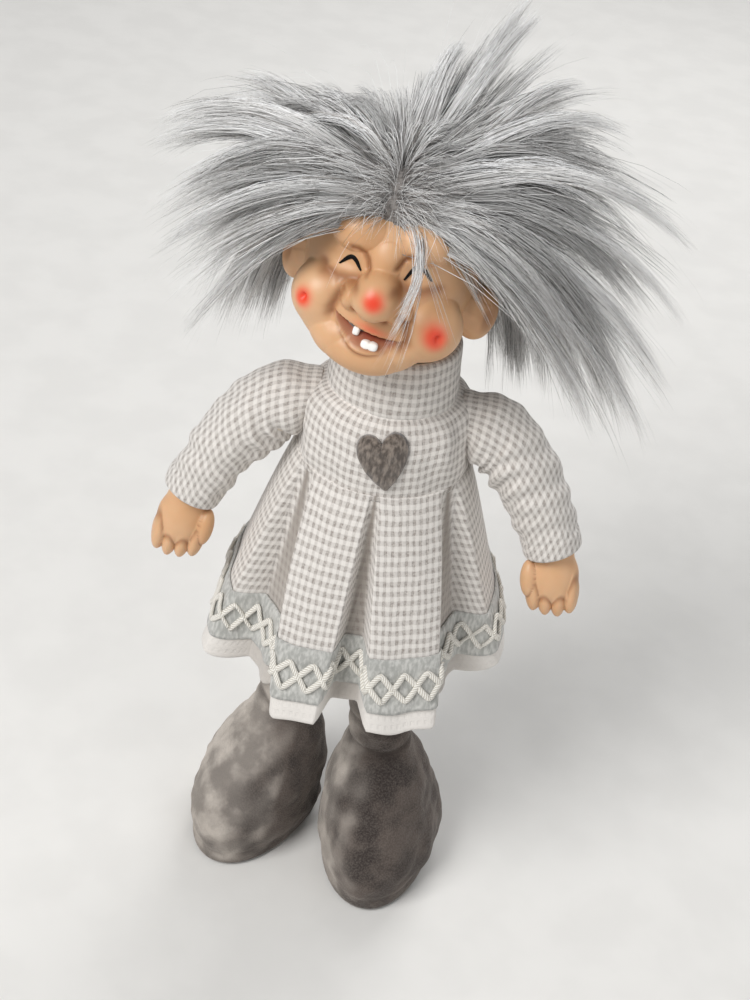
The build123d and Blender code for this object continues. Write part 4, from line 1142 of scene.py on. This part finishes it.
def skirt_place(share, degrees, grow=0.0):
    """A point of the skirt at a share of its length and degrees round.

    A superellipse that widens and squares towards the hem, pressed in between the panels: each pleat falls
    by a smooth step from its fold to a flat middle. The hem tilts and ripples.
    """
    share, degrees = np.broadcast_arrays(np.asarray(share, float), np.asarray(degrees, float))
    start, depth = torso_half(np.array(WAIST_Z))
    start, depth = (half + GAP + CLOTH + PLEAT_START for half in (start, depth))
    flare = np.clip(share, 0, None) ** FLARE_POWER
    press = PLEAT_DEPTH * np.clip(share, 0, None) ** 0.7
    sine, cosine = np.sin(np.radians(degrees)), np.cos(np.radians(degrees))
    power = 2 / (2 + share * np.where(cosine > 0, HEM_SQUARENESS - 2, 0.3))
    inwards = press * ease(0, 0.5, pleats(share, degrees))
    half_depth = depth + flare * (np.where(cosine > 0, SKIRT_FRONT, SKIRT_BACK) - depth)
    half_width = start + flare * (SKIRT_HALF_WIDTH - start)
    swell = share**2 * waves(degrees, HEM_SWELLS)
    x = np.sign(sine) * np.abs(sine) ** power * (half_width + grow - inwards + swell)
    y = -np.sign(cosine) * np.abs(cosine) ** power * (half_depth + grow - inwards + swell)
    ripple = share**3 * waves(degrees, HEM_RIPPLES)
    return np.stack([x, y, WAIST_Z - share * SKIRT_LENGTH + HEM_TILT * share * x + ripple], -1)


def skirt_map(grid, shares):
    """Millimetres along the cloth, across each panel from its middle so that the check runs down straight."""
    columns = grid.shape[1]
    closed = np.concatenate([grid, grid[:, :1]], 1)
    steps = np.linalg.norm(np.diff(closed, axis=1), axis=-1)
    across = np.concatenate([np.zeros((len(grid), 1)), np.cumsum(steps, 1)], 1)
    degrees = np.linspace(0, 360, columns + 1)
    u = np.zeros_like(across)
    for panel, (waist, hem) in enumerate(zip(np.array(WAIST_FOLDS), np.array(HEM_FOLDS))):
        folds = waist + shares[:, None] * (hem - waist)
        middle = folds.mean(1) / 360 * columns
        index = np.floor(middle).astype(int)
        rows = np.arange(len(grid))
        zero = across[rows, index] + (middle - index) * (across[rows, index + 1] - across[rows, index])
        mine = (degrees >= 60 * panel - 1e-6) & (degrees <= 60 * panel + 60)
        u[:, mine] = (across - zero[:, None])[:, mine] + 90 * panel
    return np.stack([u, np.broadcast_to((shares * SKIRT_LENGTH)[:, None], u.shape)], -1)


degrees = np.linspace(0, 360, 640, endpoint=False)[None, :]
outer = np.linspace(-0.005, 1, 74)
shares = np.concatenate([outer, [1.006, 1.006, 1.0], np.linspace(0.98, 0.0, 22)])
grow = np.concatenate([np.zeros(74), [-0.35, -1.0, -1.35], np.full(22, -SKIRT_THICKNESS)])
skirt_grid = skirt_place(shares[:, None], degrees, grow[:, None])
uv = skirt_map(skirt_grid, shares)
uv = np.concatenate([uv, uv[:1]], 0)
border = np.broadcast_to(ease(*BORDER_EDGE, shares)[:, None], skirt_grid.shape[:2])
across = np.broadcast_to(np.clip(shares, 0, 1)[:, None], border.shape)
# painted shade in the pleats' depths, strongest near the waist
valley = ease(0, 0.5, pleats(across, degrees) - 0.5 * (1 - across)) * (0.95 - 0.5 * across)
skirt = surface("skirt_cloth", skirt_grid, "loop", uv, {"border": border, "valley": valley})
place(skirt, CHECK, "torso", "check_cloth", "skirt")

ribbon_top = 1 - (HEM_BORDER + RIBBON_HEIGHT) / SKIRT_LENGTH
ribbon_foot = 1 - HEM_BORDER / SKIRT_LENGTH
down = np.linspace(ribbon_top, ribbon_foot, 16)
ribbon_grow = 0.35 + RIBBON_THICKNESS
shares = np.concatenate([[ribbon_top], down, [ribbon_foot], down[::-1][1:-1]])
grow = np.concatenate([[0.3], np.full(16, ribbon_grow), [0.3], np.full(14, 0.12)])
ribbon = surface("hem_ribbon_band", skirt_place(shares[:, None], degrees, grow[:, None]), "loop")
place(ribbon, RIBBON, "torso", "ribbon", "hem_ribbon")


def braid_cord(phase):
    """One zigzag of the lattice: its height is a rounded triangle wave of the length along the hem."""
    middle = ribbon_foot - RIBBON_HEIGHT / 2 / SKIRT_LENGTH
    turns = np.linspace(0, 360, 3601)
    ring = skirt_place(middle, turns, ribbon_grow)
    length = np.concatenate([[0], np.cumsum(np.linalg.norm(np.diff(ring, axis=0), axis=-1))])
    diamonds = 2 * int(round(length[-1] / DIAMOND_WIDTH / 2))
    along = np.linspace(0, 1, diamonds * 14, endpoint=False)
    at = np.interp(along * length[-1], length, turns)
    wave = 2 / np.pi * np.arcsin(0.985 * np.sin(np.pi * diamonds * along + phase))
    share = middle + wave * (BRAID_HEIGHT / 2 - 0.8) / SKIRT_LENGTH
    lift = ribbon_grow + 0.75 + 0.22 * np.sin(np.pi * diamonds * along * 2 + phase)
    path, raised = skirt_place(share, at, lift), skirt_place(share, at, lift + 0.5)
    heading = unit(np.roll(path, -1, 0) - np.roll(path, 1, 0))
    out = unit(raised - path)
    across = unit(np.cross(heading, out))
    cord = pipe(path, across, out, 1.15, 0.78, 8)
    return surface(f"hem_braid_{'first' if phase == 0 else 'second'}", cord, "loop", cord_uv(cord))


braids = [braid_cord(0), braid_cord(np.pi)]
place(braids[0], BRAID, "torso", "braid", "hem_braid")
place(braids[1], BRAID, "torso", "braid")


# Felt heart


def heart_grid():
    """The classic heart curve x = 16 sin3, y = 13 cos - 5 cos 2 - 2 cos 3 - cos 4, turned a little.

    The power of x falls to 1.5 at the tip, which blunts it, and a bump fills the notch. The front is domed
    by the root of (1 - share4), and the back lies on the bodice.
    """
    angle = angles(120)
    x = 16 * np.sign(np.sin(angle)) * np.abs(np.sin(angle)) ** (2.25 + 0.75 * np.cos(angle))
    y = 13 * np.cos(angle) - 5 * np.cos(2 * angle) - 2 * np.cos(3 * angle) - np.cos(4 * angle)
    y = y + 2.2 * bell((angle + np.pi) % TAU - np.pi, 0.5)
    x, y = x / 32 * HEART_WIDTH, (y + 2.5) / 29 * HEART_HEIGHT
    turn = np.radians(HEART_TURN)
    x, y = HEART_X + np.cos(turn) * x - np.sin(turn) * y, np.sin(turn) * x + np.cos(turn) * y
    share = np.concatenate([np.linspace(0.04, 1, 22), np.linspace(1, 0.04, 8)[1:]])[:, None]
    front = np.concatenate([np.ones(22), np.zeros(7)])[:, None]
    across, height = share * x, HEART_Z + share * (y + HEART_DROP) - HEART_DROP
    width, depth = torso_half(height)
    base = depth + GAP + CLOTH + 0.5
    dome = front * HEART_THICKNESS * np.sqrt(np.clip(1 - share**4, 0, 1))
    forward = base * np.sqrt(np.clip(1 - (across / (width + 2)) ** 2, 0.1, 1)) + dome
    grid = np.stack([across, -forward, height], -1)
    grid[..., 1] -= front * 0.25 * lumps(grid, 5, 9)
    return grid


heart = place(surface("heart_patch", heart_grid()), FELT, "torso", "felt", "heart")


# Arms


def arm_frame(path):
    """Heading of a path, and two directions square to it: as near +Y as can be, and their cross product."""
    heading = unit(np.gradient(path, axis=0))
    back = unit(np.array([0, 1.0, 0]) - heading * heading[:, 1:2])
    return heading, back, np.cross(heading, back)


def sleeve_grid(side, shrink, rows, ends, seed):
    """A tube down the arm: circles on root (1-t)2 + 2 elbow t (1-t) + cuff t2, eased in at the armhole.

    With ends it is a sleeve: creased by sine rings that lean round the arm, strongest on its inner side
    and at the elbow, and turned in at the cuff.
    """
    t = np.linspace(0, 1, rows)[:, None]
    path = ARM_ROOT * (1 - t) ** 2 + 2 * ELBOW * t * (1 - t) + CUFF * t**2
    heading, back, below = arm_frame(path)
    taper = (CUFF_RADIUS - SLEEVE_RADIUS + 0.9) * ease(0.3, 1, t)
    radius = SLEEVE_RADIUS - 0.9 + taper + 0.7 * np.sin(np.pi * t)
    radius = radius * (0.8 + 0.2 * ease(0.07, 0.22, t)) - shrink
    angle = angles(120)
    ring = np.cos(angle)[..., None] * back[:, None] + np.sin(angle)[..., None] * below[:, None]
    grid = path[:, None] + radius[..., None] * ring
    if ends:
        inner_side = ease(-0.3, 0.9, -np.sin(angle + 0.5))
        elbow_part = bell(t - 0.5, 0.2)
        lean = 0.06 * np.sin(angle * 2 + seed)
        rings = np.sin(TAU * (t + lean) * 7.5 + seed) * elbow_part * (0.25 + inner_side)
        low = np.sin(TAU * (t - 0.05 * np.cos(angle)) * 9 + 2 * seed) * bell(t - 0.82, 0.12)
        tuck = -bell(t - 0.36 - 0.05 * np.cos(angle + seed), 0.025) * inner_side
        crease = 0.85 * rings + 0.5 * low + 1.8 * tuck + 0.5 * lumps(grid, 14, 30 + int(seed))
        hem = 0.25 * ease(0.93, 0.94, t) * ease(1.0, 0.99, t) - 0.3 * bell(t - 0.925, 0.008)
        grid = grid + ((crease * ease(0, 0.1, t) * ease(1.0, 0.93, t) + hem)[..., None]) * ring
        inside = []
        for back_up, less in ((0.0, 0.6), (-1.5, 1.2), (-6.0, 1.5), (-11.0, 1.6)):
            end = path[-1] + back_up * heading[-1]
            inside.append((end + (radius[-1] - less)[:, None] * ring[-1])[None])
        grid = np.concatenate([grid, *inside])
    return grid * [SIDES[side], 1, 1]


for side, seed in SLEEVE_SEEDS.items():
    sleeve = surface(f"sleeve_{side}_cloth", sleeve_grid(side, 0, 130, True, seed))
    place(sleeve, CHECK, f"arm_{side}", "check_cloth", f"sleeve_{side}")
    arm = surface(f"stuffed_arm_{side}_calico", sleeve_grid(side, ARM_SHRINK, 60, False, seed)[4:51])
    place(arm, CALICO, f"arm_{side}", "body_cloth", f"stuffed_arm_{side}")


def hand_grid(side):
    """A fist along rays from its middle: a smooth largest value of palm, wrist, four fingers and thumb."""
    way = directions(np.linspace(-180, 180, 220, endpoint=False)[None], np.linspace(89, -89, 120)[:, None])
    palm = [reach(way, *ball) for ball in PALM_BALLS]
    fingers = [reach(way, (out, -0.5, -4.4 + short), FINGER_HALF) for out, short in FINGERS]
    thumb = reach(way, *THUMB_BALL)
    ordered = np.sort(np.stack(fingers + [thumb, palm[0] + 0.6]), 0)
    on_fingers = np.stack(fingers + [thumb]).max(0) > palm[0] - 0.3
    crease = bell(ordered[-1] - ordered[-2], 0.55) * on_fingers
    radius = melt([melt(palm, 1.2), *fingers, thumb], 0.55) - 0.35 * crease
    mirror = [SIDES[side], 1, 1]
    local = way * radius[..., None] * mirror
    down = unit(HAND_WAY * mirror)
    out = unit(np.array([1.0, 0, 0]) - down * down[0])
    axes = np.stack([out, np.cross(-down, out), -down], -1)
    root = CUFF + WRIST_DROP * unit(CUFF - SHOULDER)
    # painted shade between the fingers
    tints = {"crease": np.clip(0.6 * crease, 0, 1), "blush": 0 * crease, "mouth": 0 * crease}
    return root * mirror + HAND_DROP * down + local @ axes.T, tints


for side in SIDES:
    grid, tints = hand_grid(side)
    hand = surface(f"hand_{side}_fist", grid, values=tints)
    place(hand, VINYL, f"hand_{side}", "vinyl", f"hand_{side}")


# Neck

neck_height = np.concatenate([[205.4, 206.5], np.linspace(208.5, 237.8, 30), [238.5, 238.5]])
ball_radius = np.sqrt(np.clip(NECK_BALL**2 - (neck_height - PIVOT_Z) ** 2, 4, None))
neck_radius = np.where(neck_height < PIVOT_Z, ball_radius, NECK_RADIUS)
neck_radius[-2:] = (10.9, 9.5)
neck_radius = neck_radius - 0.9 * bell(neck_height - NECK_TIE_Z, 1.6)
angle = angles(96)
gathers = 1 + 0.02 * np.sin(16 * angle) * ease(226, 233, neck_height[:, None])
ring = neck_radius[:, None] * gathers
neck = np.stack([ring * np.sin(angle), -ring * np.cos(angle), neck_height[:, None] + 0 * angle], -1)
neck = place(surface("neck_calico", neck[::-1]), CALICO, "neck", "body_cloth", "neck_cloth")


# Boots and legs


def boot_axis(side, height):
    """The leaning axis of a boot at a height."""
    share = np.clip(height - BALL_HEIGHT, 0, None) / (SHAFT_TOP - BALL_HEIGHT)
    spread = BOOT_SPREAD + share * (SHAFT_SPREAD - BOOT_SPREAD)
    sign = SIDES[side]
    return np.stack([STANCE_SHIFT + sign * spread, -sign * STEP + 0 * height, height], -1)


def boot_grid(side, seed):
    """A plush boot: ovals with a long toe and a short heel on a leaning axis, from the sole to the rim.

    Soft lumps, a dent round the ankle and slanting folds above it give the stuffed form.
    """
    bottom, bottom_share = np.array(BOOT_UNDERSIDE).T
    bulb = np.linspace(SOLE_THICKNESS + 1.0, BOOT_HEIGHT, 74)
    shaft = np.linspace(BOOT_HEIGHT + 1.0, SHAFT_TOP - 0.8, 40)
    height = np.concatenate([bottom, bulb, shaft])
    share = (np.maximum(height, SOLE_THICKNESS) - SOLE_THICKNESS) / (BOOT_HEIGHT - SOLE_THICKNESS)
    knots = np.array(BOOT_SECTIONS)
    width, toe, heel = (through(np.minimum(share, 1), knots[:, 0], knots[:, k]) for k in (1, 2, 3))
    tuck = 1 + 0.11 * (1 - ease(1.5, 8.5, height))
    tuck[: len(bottom)] = bottom_share / SOLE_SHARE
    width, toe, heel = width * tuck * BOOT_WIDTH / 2, toe * tuck * BOOT_TOE, heel * tuck * BOOT_HEEL
    angle = angles(180)
    x = width[:, None] * np.sin(angle)
    y = -np.where(np.cos(angle) > 0, toe[:, None], heel[:, None]) * np.cos(angle)
    flat = np.stack([x, y, 0 * x], -1) @ rotation("Z", TOE_TURN[side]).T
    grid = flat + boot_axis(side, height)[:, None]
    out = unit(flat)
    rise = height[:, None]
    slant = rise + 3.5 * np.cos(angle + seed) + 1.2 * np.sin(3 * angle)
    ankle = bell(slant - ANKLE_FOLD[0], ANKLE_FOLD[1])
    shin = 0.8 * bell(slant + 2 * np.sin(2 * angle) - SHIN_FOLD[0], SHIN_FOLD[1])
    upper = 0.6 * bell(slant - SHAFT_FOLD[0], SHAFT_FOLD[1]) * ease(-0.2, 0.8, np.sin(angle + seed))
    folds = (ankle + shin) * (0.55 + 0.45 * np.cos(angle - 0.4)) + upper
    firm = ease(2, 9, rise)
    stuffing = 0.8 * lumps(grid, 26, 60 + int(seed)) + 0.35 * lumps(grid, 9, 70 + int(seed))
    grid = grid + (firm * stuffing - 1.3 * folds)[..., None] * out
    top, rim_radius = np.array(SHAFT_RIM).T
    rim = boot_axis(side, SHAFT_TOP + top)[:, None] + rim_radius[:, None, None] * unit(flat[-1])
    # painted sheen: pale on the side facing the key light (the figure's right), more on the right boot;
    # painted shade in the folds
    facing = 0.25 * lumps(grid, 14, 90 + int(seed)) - out[..., 0] - 0.2 * SIDES[side]
    stroked = ease(-0.2, 0.9, facing) * ease(0, 6, rise)
    plain = np.zeros(rim.shape[:2])
    tints = {"crease": np.clip(folds, 0, 1), "stroked": stroked}
    tints = {name: np.concatenate([tint, plain])[::-1] for name, tint in tints.items()}
    return np.concatenate([grid, rim])[::-1], tints


def leg_grid(side):
    """A stuffed leg: circles on the line from inside the boot's shaft to the hip, with a rounded top."""
    sign = SIDES[side]
    knee = boot_axis(side, np.array([SHAFT_TOP]))[0]
    start = boot_axis(side, np.array([LEG_START_Z]))[0]
    hip = np.array([sign * HIP_SPREAD, 0, HIP_Z])
    path = np.concatenate([np.linspace(start, knee, 6, endpoint=False), np.linspace(knee, hip, 24)])
    dome = np.linspace(0, 1, 9)[1:]
    path = np.concatenate([path, hip + UPWARDS * HIP_RADIUS * np.sin(dome * np.pi / 2)[:, None]])
    radius = np.concatenate([np.full(30, LEG_RADIUS), HIP_RADIUS * np.cos(dome * np.pi / 2) + 0.15])
    radius[22:30] = np.linspace(LEG_RADIUS, HIP_RADIUS, 8)
    grid = level_pipe(path, radius, 80)
    grid = grid + 0.3 * lumps(grid, 12, 81)[..., None] * unit(grid - path[:, None])
    return grid, {"crease": np.zeros(grid.shape[:2])}


for side, seed in BOOT_SEEDS.items():
    grid, tints = boot_grid(side, seed)
    boot = surface(f"boot_{side}_plush", grid, values=tints)
    place(boot, PLUSH, f"leg_{side}", "plush", f"boot_{side}")
    grid, tints = leg_grid(side)
    leg = surface(f"leg_{side}_plush", grid, values=tints)
    place(leg, PLUSH, f"leg_{side}", "plush", f"stuffed_leg_{side}")


# CAD pieces that stay inside

KEPT = {"neck_tie": STRING}
for side in SIDES:
    KEPT |= {f"wrist_tie_{side}": STRING, f"boot_sole_{side}": SOLE, f"boot_weight_{side}": PELLETS}
for node, finish in KEPT.items():
    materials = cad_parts[node].data.materials
    materials.clear()
    materials.append(finish)


# Stage: pale floor, soft light, the photograph's view

FLOOR_HALF, FLOOR_DROP = 3000, 0.05
floor_corners = np.array([(-1, -1, 0), (1, -1, 0), (1, 1, 0), (-1, 1, 0)], float)
floor = make_piece("floor", floor_corners * FLOOR_HALF - FLOOR_DROP * UPWARDS, [np.array([[0, 1, 2, 3]])])
FLOOR = plain_finish("pale_floor", shade(226, 224, 220), shade(230, 228, 224), 0.8, 30, 0.02)
floor.data.materials.append(FLOOR)


def lamp(name, stand, aim, size, power):
    """A square soft light, its stand and aim in metres."""
    data = bpy.data.lights.new(name, "AREA")
    data.size, data.energy = size, power
    light = bpy.data.objects.new(name, data)
    turn = (Vector(aim) - Vector(stand)).to_track_quat("-Z", "Y")
    light.matrix_world = Matrix.Translation(stand) @ turn.to_matrix().to_4x4()
    bpy.context.collection.objects.link(light)


lamp("key_light", (-0.75, -0.75, 1.25), (0, 0, 0.2), 0.7, 18)
lamp("fill_light", (1.0, -0.8, 0.7), (0, 0, 0.17), 1.0, 3.2)
lamp("back_light", (0.3, 1.0, 1.0), (0, 0, 0.22), 0.8, 8)

world = bpy.data.worlds.new("studio")
bpy.context.scene.world = world
world.use_nodes = True
world.node_tree.nodes["Background"].inputs["Color"].default_value = shade(228, 230, 233)
world.node_tree.nodes["Background"].inputs["Strength"].default_value = 0.36

backwards = Vector((0, -np.cos(np.radians(VIEW_ELEVATION)), np.sin(np.radians(VIEW_ELEVATION))))
camera_data = bpy.data.cameras.new("camera")
camera_data.lens, camera_data.sensor_width, camera_data.clip_start = LENS, SENSOR, 0.01
camera = bpy.data.objects.new("camera", camera_data)
camera.matrix_world = (
    Matrix.Translation(Vector(VIEW_TARGET * MM) + VIEW_DISTANCE * MM * backwards)
    @ (-backwards).to_track_quat("-Z", "Y").to_matrix().to_4x4()
    @ Matrix.Rotation(np.radians(VIEW_LEAN), 4, "Z")
)
bpy.context.collection.objects.link(camera)
bpy.context.scene.camera = camera
bpy.context.scene.view_settings.view_transform = "Standard"
